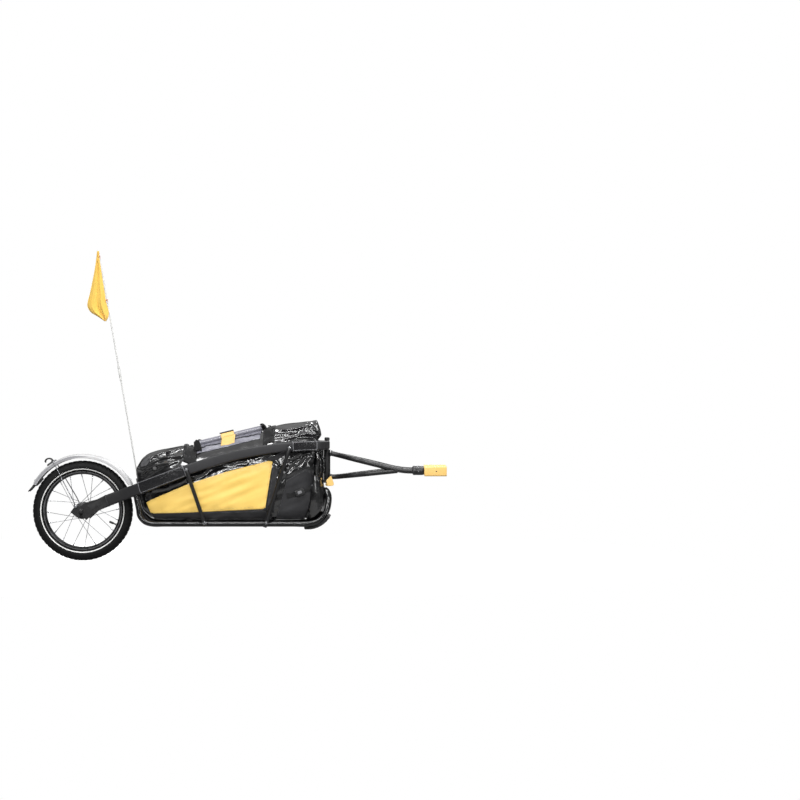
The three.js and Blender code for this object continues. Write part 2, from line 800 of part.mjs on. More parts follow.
// A crossbar's top is level with the rails', and the bag lies on it.
function makeCrossbar(x, rail, mirroredRail) {
  const z = railZ + railRadius - crossbarRadius / Math.cos(Math.PI / crossbarSides);
  const bar = rod(at(x, -railMidY, z), at(x, railMidY, z), crossbarRadius / Math.cos(Math.PI / crossbarSides), crossbarSides);
  return cut(bar, rail, mirroredRail);
}

// Struts run down the outside, from a flat on the beam to the base rail.
const strutPlaces = [
  { name: 'rear', topX: strutRearTopX, topZ: strutRearTopZ, footX: -strutFootX, topShare: 0.985 },
  { name: 'front', topX: strutFrontTopX, topZ: strutFrontTopZ, footX: strutFootX, topShare: 0.96 },
];

function makeStrut({ topX, topZ, footX, topShare }) {
  const beamY = beamFrontY + topShare * (beamMidY - beamFrontY);
  const topY = beamY + beamThickness / 2 + strutRadius + gap + beamCorner * 0.4;
  const footY = railMidY + railRadius + strutRadius + 4 * gap;
  const fall = topZ - railZ;
  const point = (down, y) => at(topX + down * (footX - topX), y, topZ - down * fall);
  return tube([point(0, topY), point(0.17, topY), point(0.9, footY), point(1.04, footY)], strutRadius, 10, 12);
}

// The bridge joins the beams in front of the wheel, with a tab under the fender.
const bridgeRadius = 8;
const bridgeAngle = 24.2;
const bridgeTabAngles = [0, 3, 6, 9, 12, 15];
const tabWall = 3;
const tabHalfWidth = 7;

function makeBridge() {
  const p = round(fenderRadius, bridgeAngle);
  const reach = beamCurve.getPointAt(beamShareAt(p.x)).y;
  const bar = rod(at(p.x, -reach, p.z), at(p.x, reach, p.z), bridgeRadius, 12);
  const outer = fenderRadius - fenderWall - gap - fenderSkirt * 0.02;
  const [top, base] = [[], []];
  for (const turn of bridgeTabAngles) {
    const a = round(outer, bridgeAngle + turn);
    const b = round(outer - tabWall, bridgeAngle + turn);
    top.push([a.x, a.z]);
    base.push([b.x, b.z]);
  }
  const tab = plate([...top, ...base.reverse()], -tabHalfWidth, tabHalfWidth);
  const trimmed = cut(bar, beamSolid(0, 0.3, gap), mirrored(beamSolid(0, 0.3, gap)));
  return union(trimmed, tab);
}

const skidAngles = [-90, -78, -66, -54, -42, -30];

function makeSkidPad() {
  const centreZ = railZ + railFrontBend;
  const inner = railFrontBend + railRadius + gap;
  const outer = inner + skidWall;
  const point = (r, angle) => [railFrontX + r * Math.cos(degrees(angle)), centreZ + r * Math.sin(degrees(angle))];
  const top = skidAngles.map((a) => point(inner, a));
  const base = skidAngles.map((a) => point(outer, a)).reverse();
  const lead = skidWall * 1.4;
  return plate([
    [railFrontX - lead, centreZ - inner], ...top, ...base, [railFrontX - lead * 0.8, centreZ - outer],
  ], -skidHalfWidth, skidHalfWidth);
}

// Flag pole: a point on its axis, a length up from its foot.
const poleY = beamCurve.getPointAt(beamShareAt(poleBottomX)).y + poleSetOut;
const poleLean = degrees(poleTilt);
const poleAt = (up, y = poleY) => at(poleBottomX - up * Math.sin(poleLean), y, poleBottomZ + up * Math.cos(poleLean));
const poleInsert = 56;
const socketFloor = socketLength - poleInsert;

function makeFlagSocket() {
  const sleeve = rod(poleAt(0), poleAt(socketLength), socketRadius, 10);
  const bore = rod(poleAt(socketFloor - gap), poleAt(socketLength + overrun), poleRadius + gap, 10);
  const middle = poleAt(socketLength * 0.45);
  const half = socketRadius * 0.9;
  const lug = block(middle.x - half, middle.x + half, poleY - socketRadius - socketLug, poleY, middle.z - half, middle.z + half);
  return cut(union(sleeve, lug), bore, beamSolid(0, 0.3, gap), railRoom);
}

function makePoleLower() {
  const top = poleLength / 2;
  const shaft = rod(poleAt(socketFloor), poleAt(top), poleRadius, 10);
  const ferrule = rod(poleAt(top - poleJointLength / 2), poleAt(top + poleJointLength / 2), poleJointRadius, 12);
  const bore = rod(poleAt(top - gap), poleAt(top + poleJointLength), poleRadius + gap, 12);
  return cut(union(shaft, ferrule), bore);
}

function makePoleUpper() {
  return rod(poleAt(poleLength / 2), poleAt(poleLength), poleRadius, 10);
}

// The pennant hangs limp from the pole: its hoist is tied along the pole and the fly drops in folds.
// Rows run down the flag: drop, left edge and right edge as shares of the drop and the hang width.
const flagRowShares = [
  [0, -0.04, 0.03], [0.1, -0.07, 0.04], [0.25, -0.13, 0.1], [0.45, -0.24, 0.19], [0.64, -0.36, 0.28],
  [0.7, -0.41, 0.3], [0.78, -0.44, 0.36], [0.86, -0.33, 0.42], [0.93, -0.03, 0.42], [1, 0.27, 0.33],
];
const flagFoldShares = [0, 0.55, 1, 0.5, -0.1, 0.45, 1, 0.55, 0.1];
const flagTop = 1;
const flagHangWidth = 98;
const flagFoldDepth = 13;

function makePennant() {
  const top = poleAt(poleLength);
  const front = poleY - poleRadius - gap - flagWall;
  const columns = flagFoldShares.length;
  const rings = flagRowShares.map(([drop, left, right]) => {
    const z = top.z - flagTop - drop * flagDrop;
    const [near, far] = [[], []];
    flagFoldShares.forEach((fold, j) => {
      const across = j / (columns - 1);
      const x = top.x + (left + (right - left) * across) * flagHangWidth;
      const y = front - fold * flagFoldDepth * (0.25 + 0.75 * drop);
      near.push(at(x, y, z));
      far.push(at(x, y + flagWall, z));
    });
    return [...near, ...far.reverse()];
  });
  return closedStrip(rings);
}

// Bag

// Height of the bag's top and bottom and its half width, along its length.
const bagFrontX = 338;
const bagBaseZ = railZ + railRadius + gap;
const bagTopZ = 563;
const bagTopShares = [
  [0, 0.53], [0.03, 0.62], [0.06, 0.665], [0.12, 0.695], [0.25, 0.735], [0.325, 0.718], [0.676, 0.876],
  [0.735, 0.928], [0.83, 0.96], [0.94, 0.99], [0.975, 0.998], [1, 0.86],
];
const bagBaseShares = [
  [0, 0.36], [0.012, 0.21], [0.035, 0.1], [0.08, 0.02], [0.13, 0], [0.9, 0], [0.935, 0.035], [0.962, 0.11],
  [0.977, 0.2], [0.979, 0.805], [1, 0.82],
];
const bagWidthShares = [
  [0, 0.44], [0.03, 0.52], [0.09, 0.7], [0.18, 0.9], [0.28, 1], [0.75, 1], [0.83, 0.96], [0.89, 0.85],
  [0.92, 0.78], [0.977, 0.61], [1, 0.5],
];
const bagHalfWidth = beamMidY - beamThickness / 2 - flapClearance - coverWall - bagSideRoom;
// Half outline of a section: shares of the half width and of the height.
const bagSectionShares = [
  [0, 0], [0.5, 0], [0.8, 0.005], [0.9, 0.03], [0.945, 0.1], [0.965, 0.25], [0.985, 0.45], [0.98, 0.62],
  [0.9, 0.78], [0.72, 0.9], [0.42, 0.975], [0, 1],
];

function bagRing(share, proud) {
  const x = bagRearX - proud + share * (bagFrontX - bagRearX + 2 * proud);
  const height = bagTopZ - bagBaseZ;
  const low = bagBaseZ + along(bagBaseShares, share) * height - proud;
  const high = bagBaseZ + along(bagTopShares, share) * height + proud;
  const half = along(bagWidthShares, share) * bagHalfWidth + proud;
  const right = bagSectionShares.map(([w, h]) => at(x, w * half, low + h * (high - low)));
  const left = right.slice(1, -1).map((p) => at(p.x, -p.y, p.z)).reverse();
  return [...right, ...left];
}

const bagStationShares = [
  0, 0.012, 0.035, 0.06, 0.09, 0.13, 0.18, 0.25, 0.325, 0.4, 0.5, 0.6, 0.676, 0.735, 0.79, 0.84, 0.9, 0.935,
  0.962, 0.977, 0.979, 1,
];
const bagSolid = (proud = 0) => loft(bagStationShares.map((share) => bagRing(share, proud)));

// The coloured side panel: an outline in the XZ plane, cut from a skin over the bag's side.
const panelRearX = -356;
const panelFrontX = 147;
const panelBaseZ = 192;
const panelTopZ = 401;
const panelShares = [
  [0, 0.2], [0.035, 0.25], [0.315, 0.535], [0.635, 0.79], [0.975, 1], [0.998, 0.99], [1, 0.965],
  [0.945, 0.12], [0.925, 0.09], [0.455, 0.035], [0.06, 0], [0.035, 0.015],
];

function makePanel() {
  const outline = panelShares.map(([x, z]) => [
    panelRearX + x * (panelFrontX - panelRearX), panelBaseZ + z * (panelTopZ - panelBaseZ)]);
  const skin = cut(bagSolid(gap + panelWall), bagSolid(gap));
  return intersect(skin, plate(outline, bagHalfWidth * 0.5, bagHalfWidth * 1.4));
}

const rollAt = (share) => at(
  rollRearX + share * (rollFrontX - rollRearX), 0, rollRearZ + share * (rollFrontZ - rollRearZ));

function makeRoll() {
  return cut(rod(rollAt(0), rollAt(1), rollRadius, 16), bagSolid(gap));
}

function makeGripWrap() {
  const half = gripLength / 2 / rollAt(0).distanceTo(rollAt(1));
  const [from, to] = [rollAt(gripPlaceShare - half), rollAt(gripPlaceShare + half)];
  const bore = [rollAt(gripPlaceShare - half * 1.2), rollAt(gripPlaceShare + half * 1.2)];
  const ring = rod(from, to, rollRadius + gap + gripWall, 16);
  return cut(ring, rod(...bore, rollRadius + gap, 16), bagSolid(gap));
}

function makeStrap(rearX, width, drop) {
  const share = (rearX + width / 2 - bagRearX) / (bagFrontX - bagRearX);
  const top = bagBaseZ + along(bagTopShares, share) * (bagTopZ - bagBaseZ);
  const skin = cut(bagSolid(gap + strapWall), bagSolid(gap));
  return intersect(skin, block(rearX, rearX + width, -beamMidY, beamMidY, top - drop, bagTopZ + rollRadius));
}

// Where along the beam's path a distance along the trailer is reached, on the left half.
function beamShareAt(x) {
  let [low, high] = [0, beamJointShare];
  for (let i = 0; i < 30; i += 1) {
    const middle = (low + high) / 2;
    if (beamCurve.getPointAt(middle).x < x) low = middle;
    else high = middle;
  }
  return low;
}

const flapPlaces = [
  { name: 'rear', from: flapRearStartX, to: flapRearEndX },
  { name: 'front', from: flapFrontStartX, to: flapFrontEndX },
];

function makeFlap({ from, to }) {
  const [a, b] = [beamShareAt(from), beamShareAt(to)];
  const wall = flapClearance + coverWall;
  return cut(beamSolid(a, b, wall), beamSolid(a - jointStep * 9, b + jointStep * 9, flapClearance));
}

// Yoke

const armPlanShares = [[0, 0], [0.093, 0.06], [0.183, 0.284], [0.279, 0.55], [0.452, 0.8], [0.692, 0.935], [1, 1]];
const armUpperFallShares = [[0, 0], [0.093, 0.1], [0.6, 0.68], [0.7, 0.805], [0.865, 0.97], [1, 1]];
const armLowerRiseShares = [[0, 0], [0.093, 0.06], [0.6, 0.77], [0.724, 0.93], [0.85, 1.12]];

function armPoint(share, rootZ, table) {
  const x = armRootX + share * (collarRearX - gap - armRootX);
  const y = armRootY + along(armPlanShares, share) * (hitchY - armRootY);
  return at(x, y, rootZ + along(table, share) * (hitchZ - rootZ));
}

const steererClearance = () => rod(
  at(pivotX, 0, lowerLugTopZ - overrun), at(pivotX, 0, crossBottomZ), steererRadius + gap, 24);

function makeUpperArm() {
  const shares = [0.093, 0.183, 0.279, 0.365, 0.452, 0.6, 0.7, 0.8, 0.9];
  const points = shares.map((share) => armPoint(share, armUpperZ, armUpperFallShares));
  const root = at(armRootX - armRadius, armRootY, armUpperZ + armRadius * 0.25);
  const front = at(collarRearX + overrun, hitchY, hitchZ);
  const collarRoom = block(collarRearX - gap, collarFrontX, 0, hitchY * 2, hitchZ - hitchY, hitchZ + hitchY);
  return cut(tube([root, ...points, front], armRadius, armSides, 20), steererClearance(), collarRoom);
}

function makeLowerArm() {
  const shares = [0.093, 0.183, 0.279, 0.365, 0.452, 0.55, 0.65, 0.75, 0.85];
  const points = shares.map((share) => armPoint(share, armLowerZ, armLowerRiseShares));
  const root = at(armRootX - armRadius, armRootY, armLowerZ);
  const tubeSolid = tube([root, ...points], braceRadius, armSides, 18);
  return cut(tubeSolid, steererClearance(), makeUpperArmProud());
}

function makeUpperArmProud() {
  const shares = [0.45, 0.6, 0.7, 0.8, 0.9];
  const points = shares.map((share) => armPoint(share, armUpperZ, armUpperFallShares));
  return tube([...points, at(collarRearX - gap, hitchY, hitchZ)], armRadius + gap * 2, armSides, 20);
}

function makeSteerer() {
  const [low, high] = [lowerLugTopZ + bushingFlange + 2 * gap, crossBottomZ - bushingFlange - 2 * gap];
  return lathe([
    [steererBore, low], [steererRadius, low], [steererRadius, high], [steererBore, high],
  ], 24).rotateX(Math.PI / 2);
}

// A flanged bushing in one end of the steerer tube.
function makeBushing(end, sense) {
  const inner = pivotPinRadius + gap;
  const outer = steererBore - gap;
  const face = end + sense * bushingFlange;
  return lathe([
    [inner, end], [steererRadius, end], [steererRadius, face], [outer, face], [outer, end + sense * bushingLength],
    [inner, end + sense * bushingLength],
  ], 14).rotateX(Math.PI / 2);
}

const camRadius = 6.5;
const camHalfLength = 10;
const pinRise = 11;
const camZ = lowerLugTopZ - lugThickness - gap * 2 - camRadius;
const pinTopZ = crossTopZ + pinRise;
const clampRadius = 10;
const clampCap = 3;

// The pivot pin with the nut on its top.
function makePivotPin() {
  const [low, seat, high] = [camZ + camRadius + gap, crossTopZ + gap, pinTopZ + 2 * gap + clampCap];
  return lathe([
    [0, low], [pivotPinRadius, low], [pivotPinRadius, seat], [clampRadius, seat], [clampRadius, high - clampCap],
    [clampRadius * 0.6, high], [0, high],
  ], 16).rotateX(Math.PI / 2);
}

// The lever's paddle stands beside the root of the right lower arm when closed.
const paddleInnerY = -27.5;
const paddleOuterY = -38;
const paddleSpan = 30;
const linkSetForward = 3.5;
const linkLength = 8;
const linkWall = 4;
const paddleRise = 35;
const paddleShares = [
  [-0.1, 0.45], [0.5, 0.98], [0.62, 0.97], [0.74, 0.6], [0.96, 0.08], [0.86, -0.12], [0.3, -0.17], [0.1, -0.15],
];

function makePivotLever() {
  const cam = rod(at(pivotX, -camHalfLength, camZ), at(pivotX, camHalfLength, camZ), camRadius, 14);
  const outline = paddleShares.map(([x, z]) => [pivotX + x * paddleSpan, camZ + z * paddleRise]);
  const linkRearX = pivotX + linkSetForward;
  const link = block(linkRearX, linkRearX + linkLength, paddleInnerY - linkWall, -camHalfLength + linkWall,
    camZ - linkWall, camZ + linkWall);
  return union(cam, link, plate(outline, paddleOuterY, paddleInnerY));
}

// Hitch: a collar and claw on the end of each arm, under a spring-loaded sleeve.
const clawRearX = 786.5;
const clawSetback = 3;
const sleeveCorner = 7;
const roomCorner = 5;
const peepRadius = 2.6;
const clawFrontX = sleeveRearX + sleeveLength - clawSetback;
const shankRadius = 8;
const springOuter = 12.5;
const springFrontX = 778.7;
const shoulderWall = 3;

function makeHitchEnd() {
  const collar = rod(at(collarRearX, hitchY, hitchZ), at(collarFrontX, hitchY, hitchZ), collarRadius, 24);
  const shank = rod(at(collarFrontX - overrun, hitchY, hitchZ), at(clawRearX + overrun, hitchY, hitchZ), shankRadius, 16);
  const half = clawHalfHeight;
  const claw = block(clawRearX, clawFrontX, hitchY - half, hitchY + half, hitchZ - half, hitchZ + half);
  const slot = block(hitchX - axleSlot, hitchX + axleSlot, hitchY - half - overrun, hitchY + half + overrun,
    hitchZ - half - overrun, hitchZ);
  const seat = rod(at(hitchX, hitchY - half - overrun, hitchZ), at(hitchX, hitchY + half + overrun, hitchZ), axleSlot, 12);
  return cut(union(collar, shank, claw), slot, seat);
}

function makeHitchSpring() {
  return lathe([
    [shankRadius + gap * 2, collarFrontX + gap], [springOuter, collarFrontX + gap], [springOuter, springFrontX],
    [shankRadius + gap * 2, springFrontX],
  ], 16).rotateZ(-Math.PI / 2).translate(0, hitchY, hitchZ);
}

function roundedBlock(x0, x1, half, height, corner) {
  const shape = new THREE.Shape();
  for (const [sy, sz, first] of [[1, 1, 0], [-1, 1, 90], [-1, -1, 180], [1, -1, 270]]) {
    for (const turn of [0, 45, 90]) {
      const a = degrees(first + turn);
      const y = sy * (half - corner) + corner * Math.cos(a);
      const z = sz * (height - corner) + corner * Math.sin(a);
      if (sy === 1 && sz === 1 && turn === 0) shape.moveTo(y, z);
      else shape.lineTo(y, z);
    }
  }
  const solid = new THREE.ExtrudeGeometry(shape, { depth: x1 - x0, bevelEnabled: false });
  return solid.rotateX(Math.PI / 2).rotateZ(Math.PI / 2).translate(x0, hitchY, hitchZ);
}

function makeHitchSleeve() {
  const front = sleeveRearX + sleeveLength;
  const [half, height] = [sleeveWidth / 2, sleeveHeight / 2];
  const outer = roundedBlock(sleeveRearX, front, half, height, sleeveCorner);
  const [inHalf, inHeight] = [half - sleeveWall, height - sleeveWall];
  const rearRoom = roundedBlock(sleeveRearX - overrun, springFrontX + gap, inHalf, inHeight, roomCorner);
  const frontRoom = roundedBlock(springFrontX + gap + shoulderWall, front + overrun, inHalf, inHeight, roomCorner);
  const waist = rod(at(sleeveRearX, hitchY, hitchZ), at(front, hitchY, hitchZ), shankRadius + gap * 2, 16);
  const slotFront = hitchX + axleSlot + sleeveTravel;
  const inner = hitchY - half;
  const entry = block(hitchX - axleSlot, slotFront, inner - overrun, inner + sleeveWall + 2 * gap,
    hitchZ - axleSlot, hitchZ + axleSlot);
  const drop = block(slotFront - 2 * axleSlot, slotFront, inner - overrun, hitchY + half * 0.6,
    hitchZ - height - overrun, hitchZ);
  const peep = rod(at(hitchX, hitchY, hitchZ), at(hitchX, hitchY + half + overrun, hitchZ), peepRadius, 8);
  return cut(outer, rearRoom, frontRoom, waist, entry, drop, peep);
}

// Assembly

const trailer = new THREE.Group();

function finish(color, roughness, metalness) {
  return () => new THREE.MeshStandardMaterial({ color, roughness, metalness });
}

const blackPaint = finish('#262628', 0.5, 0.2);
const blackPlastic = finish('#1b1b1c', 0.55, 0);
const glossyBlack = finish('#141416', 0.18, 0);
const greyFilm = finish('#77777c', 0.2, 0);
const yellowCoat = finish('#f8d455', 0.35, 0);
const yellowPlastic = finish('#f7d07a', 0.4, 0);
const silver = finish('#b9b9b8', 0.35, 0.9);
const steel = finish('#a9abad', 0.3, 1);
const rubber = finish('#161617', 0.85, 0);
const whiteRod = finish('#ececea', 0.4, 0);

function add(parent, name, geometry, material) {
  const mesh = new THREE.Mesh(geometry, material());
  mesh.name = name;
  parent.add(mesh);
  return mesh;
}

function addPair(parent, name, geometry, material) {
  add(parent, `${name}_left`, geometry, material);
  add(parent, `${name}_right`, mirrored(geometry), material);
}

const wheel = new THREE.Group();
wheel.position.set(wheelX, 0, wheelZ);
trailer.add(wheel);
add(wheel, 'tyre', makeTyre(), rubber);
add(wheel, 'inner_tube', makeInnerTube(), rubber);
add(wheel, 'rim', makeRim(), blackPaint);
add(wheel, 'spokes_right', makeSpokes(-1, spokeFirstAngle), steel);
add(wheel, 'spokes_left', makeSpokes(1, spokeFirstAngle + 180 / spokesPerSide), steel);
add(wheel, 'hub_shell', makeHubShell(), blackPaint);
add(wheel, 'bearing_right', makeBearing(-1), steel);
add(wheel, 'bearing_left', makeBearing(1), steel);
add(wheel, 'axle', makeAxle(), steel);
add(wheel, 'skewer', makeSkewer(), steel);
add(wheel, 'skewer_lever', makeSkewerLever().rotateY(-degrees(leverTilt)), blackPaint);

add(trailer, 'fender', makeFender(), silver);
add(trailer, 'mudflap', makeMudflap(), rubber);
add(trailer, 'fender_stay', makeStay(), steel);
add(trailer, 'light_bracket', makeLightBracket(), blackPlastic);
addPair(trailer, 'dropout', makeDropout(1), blackPaint);

addPair(trailer, 'side_beam', leftBeam, blackPaint);
add(trailer, 'front_crossmember', union(makeCrossmember(), makeHeadColumn()), blackPaint);

const columnRoom = block(columnRearX - gap, columnFrontX + gap, -columnWidth / 2 - gap, columnWidth / 2 + gap,
  columnBottomZ - gap, crossBottomZ);
const rail = cut(makeRail(0), beamSolid(0, beamJointShare, gap), columnRoom);
const railRoom = makeRail(gap);
addPair(trailer, 'base_rail', rail, blackPaint);
for (const [name, x] of [['rear', crossbarRearX], ['front', crossbarFrontX]]) {
  add(trailer, `crossbar_${name}`, makeCrossbar(x, railRoom, mirrored(railRoom)), blackPaint);
}
for (const place of strutPlaces) addPair(trailer, `strut_${place.name}`, makeStrut(place), blackPaint);
add(trailer, 'wheel_bridge', makeBridge(), blackPaint);
add(trailer, 'skid_pad', makeSkidPad(), rubber);

add(trailer, 'flag_socket', makeFlagSocket(), blackPlastic);
add(trailer, 'flag_pole_lower', makePoleLower(), whiteRod);
add(trailer, 'flag_pole_upper', makePoleUpper(), whiteRod);
add(trailer, 'pennant', makePennant(), yellowCoat);

add(trailer, 'bag_body', bagSolid(), glossyBlack);
addPair(trailer, 'bag_panel', makePanel(), yellowCoat);
add(trailer, 'bag_roll', makeRoll(), greyFilm);
add(trailer, 'grip_wrap', makeGripWrap(), yellowCoat);
add(trailer, 'strap_rear', makeStrap(strapRearX, strapRearWidth, strapRearDrop), blackPlastic);
add(trailer, 'strap_front', makeStrap(strapFrontX, strapFrontWidth, strapFrontDrop), blackPlastic);
for (const place of flapPlaces) addPair(trailer, `bag_flap_${place.name}`, makeFlap(place), glossyBlack);

const pivot = new THREE.Group();
pivot.position.set(pivotX, 0, 0);
trailer.add(pivot);
add(pivot, 'yoke_steerer', makeSteerer(), blackPaint);
add(pivot, 'bushing_lower', makeBushing(lowerLugTopZ + gap, 1), steel);
add(pivot, 'bushing_upper', makeBushing(crossBottomZ - gap, -1), steel);
add(pivot, 'pivot_pin', makePivotPin(), steel);
add(trailer, 'pivot_lever', makePivotLever(), yellowPlastic);
addPair(trailer, 'yoke_arm', makeUpperArm(), blackPaint);
addPair(trailer, 'yoke_brace', makeLowerArm(), blackPaint);
addPair(trailer, 'hitch_end', makeHitchEnd(), blackPaint);
addPair(trailer, 'hitch_spring', makeHitchSpring(), steel);
addPair(trailer, 'hitch_sleeve', makeHitchSleeve(), yellowPlastic);

export default trailer;
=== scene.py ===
import math
import bpy
import bmesh
import numpy as np
from mathutils import Matrix, Vector, noise
from mathutils.bvhtree import BVHTree


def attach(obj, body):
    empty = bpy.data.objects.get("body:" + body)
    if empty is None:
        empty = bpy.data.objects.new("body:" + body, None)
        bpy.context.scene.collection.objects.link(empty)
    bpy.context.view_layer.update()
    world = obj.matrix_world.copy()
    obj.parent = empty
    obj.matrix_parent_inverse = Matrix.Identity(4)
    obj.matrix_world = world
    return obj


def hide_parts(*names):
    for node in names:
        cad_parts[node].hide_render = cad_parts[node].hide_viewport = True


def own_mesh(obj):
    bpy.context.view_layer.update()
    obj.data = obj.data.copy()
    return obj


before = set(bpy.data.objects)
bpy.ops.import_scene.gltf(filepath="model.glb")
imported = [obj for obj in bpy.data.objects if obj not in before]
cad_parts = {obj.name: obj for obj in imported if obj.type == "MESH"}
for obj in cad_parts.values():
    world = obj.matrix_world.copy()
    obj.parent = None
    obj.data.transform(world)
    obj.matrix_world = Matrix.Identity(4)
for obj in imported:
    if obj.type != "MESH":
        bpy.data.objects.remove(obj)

for leftover in ("Cube", "Light", "Camera"):
    if leftover in bpy.data.objects:
        bpy.data.objects.remove(bpy.data.objects[leftover])
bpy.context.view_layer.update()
up, leftward = Vector((0, 0, 1)), Vector((0, 1, 0))


def at(x, y, z):
    return Vector((x, y, z)) * 0.001  # the sizes here are millimetres, the scene is metres


def sideName(side):
    return "left" if side > 0 else "right"


def fullTurn(count):
    return [2 * math.pi * i / count for i in range(count)]


def arc(x, z, radius, degrees):
    # rows on a circle, one for each angle
    return [(x + radius * math.cos(math.radians(a)), z + radius * math.sin(math.radians(a)))
            for a in degrees]


def evenSection(half, middle=()):
    # the rows of one half, and the same rows back on the other side
    return half + list(middle) + [(r, -h) for r, h in reversed(half)]


def between(table, x, eased=False):
    if x <= table[0][0]:
        return table[0][1]
    for (x0, v0), (x1, v1) in zip(table, table[1:]):
        if x <= x1:
            share = (x - x0) / (x1 - x0)
            return v0 + (v1 - v0) * (share * share * (3 - 2 * share) if eased else share)
    return table[-1][1]


def runAt(path, i, reach=1):
    # the way a path runs at one of its points
    return (path[min(i + reach, len(path) - 1)] - path[max(i - reach, 0)]).normalized()


def smoothPath(points, count, closed=False):
    # centripetal curve through the points, then even steps along its length
    knots = [Vector(p) for p in points]
    if closed:
        knots = [knots[-1]] + knots + [knots[0], knots[1]]
    else:
        knots = [knots[0] * 2 - knots[1]] + knots + [knots[-1] * 2 - knots[-2]]
    fine = []
    for a, b, c, d in zip(knots, knots[1:], knots[2:], knots[3:]):
        t1 = math.sqrt(max((b - a).length, 1e-9))
        t2 = t1 + math.sqrt(max((c - b).length, 1e-9))
        t3 = t2 + math.sqrt(max((d - c).length, 1e-9))
        for i in range(24):
            t = t1 + (t2 - t1) * i / 24
            ab = a + (b - a) * (t / t1)
            bc = b + (c - b) * ((t - t1) / (t2 - t1))
            cd = c + (d - c) * ((t - t2) / (t3 - t2))
            abc = ab + (bc - ab) * (t / t2)
            bcd = bc + (cd - bc) * ((t - t1) / (t3 - t1))
            fine.append(abc + (bcd - abc) * ((t - t1) / (t2 - t1)))
    fine.append(knots[-2].copy())
    run = [0.0]
    for a, b in zip(fine, fine[1:]):
        run.append(run[-1] + (b - a).length)
    steps, k = [], 0
    for i in range(count + (0 if closed else 1)):
        goal = run[-1] * i / count
        while k < len(run) - 2 and run[k + 1] < goal:
            k += 1
        share = (goal - run[k]) / max(run[k + 1] - run[k], 1e-12)
        steps.append(fine[k].lerp(fine[k + 1], min(max(share, 0), 1)))
    return steps


def soundMesh(name, verts, faces):
    # corners that meet become one, and the faces look outwards
    mesh = bpy.data.meshes.new(name)
    mesh.from_pydata([tuple(v) for v in verts], [], faces)
    shell = bmesh.new()
    shell.from_mesh(mesh)
    bmesh.ops.remove_doubles(shell, verts=shell.verts, dist=2e-6)
    bmesh.ops.recalc_face_normals(shell, faces=shell.faces)
    shell.to_mesh(mesh)
    shell.free()
    return mesh


def placed(name, content):
    thing = bpy.data.objects.new(name, content)
    bpy.context.scene.collection.objects.link(thing)
    return thing


def makePiece(name, shape, finish, body="frame", standsFor=(), crease=32, bevel=0.0, bevelSteps=2):
    mesh = soundMesh(name, *shape)
    mesh.shade_smooth()
    mesh.set_sharp_from_angle(angle=math.radians(crease))
    mesh.materials.append(finish)
    piece = placed(name, mesh)
    if bevel:
        edge = piece.modifiers.new("edges", 'BEVEL')
        edge.width = bevel * 0.001
        edge.segments = bevelSteps
        edge.limit_method = 'ANGLE'
        edge.angle_limit = math.radians(crease)
        edge.harden_normals = False
    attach(piece, body)
    if standsFor:
        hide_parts(*standsFor)
    return piece


def joined(*shapes):
    verts, faces = [], []
    for more, rows in shapes:
        base = len(verts)
        verts += list(more)
        faces += [tuple(base + i for i in face) for face in rows]
    return verts, faces


def moved(shape, matrix):
    return [matrix @ Vector(v) for v in shape[0]], shape[1]


def mirrored(shape):
    return [Vector((v[0], -v[1], v[2])) for v in shape[0]], [tuple(reversed(f)) for f in shape[1]]


bothSides = (("left", lambda shape: shape), ("right", mirrored))


def quads(rows, columns, closedRows=False, closedColumns=True):
    # the faces between rows of corners
    faces = []
    for i in range(rows if closedRows else rows - 1):
        for j in range(columns if closedColumns else columns - 1):
            n, k = (i + 1) % rows * columns, (j + 1) % columns
            faces.append((i * columns + j, i * columns + k, n + k, n + j))
    return faces


def ringSkin(rings, closed=False):
    count = len(rings[0])
    verts = [p for ring in rings for p in ring]
    faces = quads(len(rings), count, closed)
    for ring, turn in () if closed else ((0, -1), (len(rings) - 1, 1)):
        verts.append(sum(rings[ring], Vector()) / count)
        for j in range(count):
            pair = (ring * count + j, ring * count + (j + 1) % count)
            faces.append((len(verts) - 1,) + pair[::turn])
    return verts, faces


def thinSkin(rings):
    # each ring is the outer row of a thin wall, and its inner row back again
    n = len(rings[0])
    faces = quads(len(rings), n)
    for base in (0, (len(rings) - 1) * n):
        faces += [(base + j, base + j + 1, base + n - 2 - j, base + n - 1 - j) for j in range(n // 2 - 1)]
    return [p for ring in rings for p in ring], faces


def tubeAlong(path, radius, sides=20, closed=False):
    # radius is one number, or a function of the share of the path
    rings, across = [], None
    for i, p in enumerate(path):
        ahead = path[(i + 1) % len(path)] if closed or i + 1 < len(path) else p
        back = path[i - 1] if closed or i > 0 else p
        run = (ahead - back).normalized()
        if across is None:
            across = run.orthogonal().normalized()
        across = (across - run * across.dot(run)).normalized()
        beside = run.cross(across)
        r = (radius(i / (len(path) - 1)) if callable(radius) else radius) * 0.001
        rings.append([p + (across * math.cos(a) + beside * math.sin(a)) * r for a in fullTurn(sides)])
    return ringSkin(rings, closed)


def spun(profile, centre, steps=96, axis='Y', closed=True):
    # profile rows are a radius and a place along the axis
    verts = []
    for a in fullTurn(steps):
        for r, h in profile:
            u, v = r * math.cos(a), r * math.sin(a)
            verts.append(centre + at(*{'Y': (u, h, v), 'Z': (u, v, h), 'X': (h, u, v)}[axis]))
    return verts, quads(steps, len(profile), True, closed)


def turnedTo(direction, place):
    # a matrix that lays the local Z along a direction
    return Matrix.Translation(place) @ Vector(direction).to_track_quat('Z', 'Y').to_matrix().to_4x4()


def lathed(profile, direction, place, steps=24, closed=False):
    # a profile spun about a direction, from a place on
    return moved(spun(profile, Vector(), steps, 'Z', closed), turnedTo(direction, place))


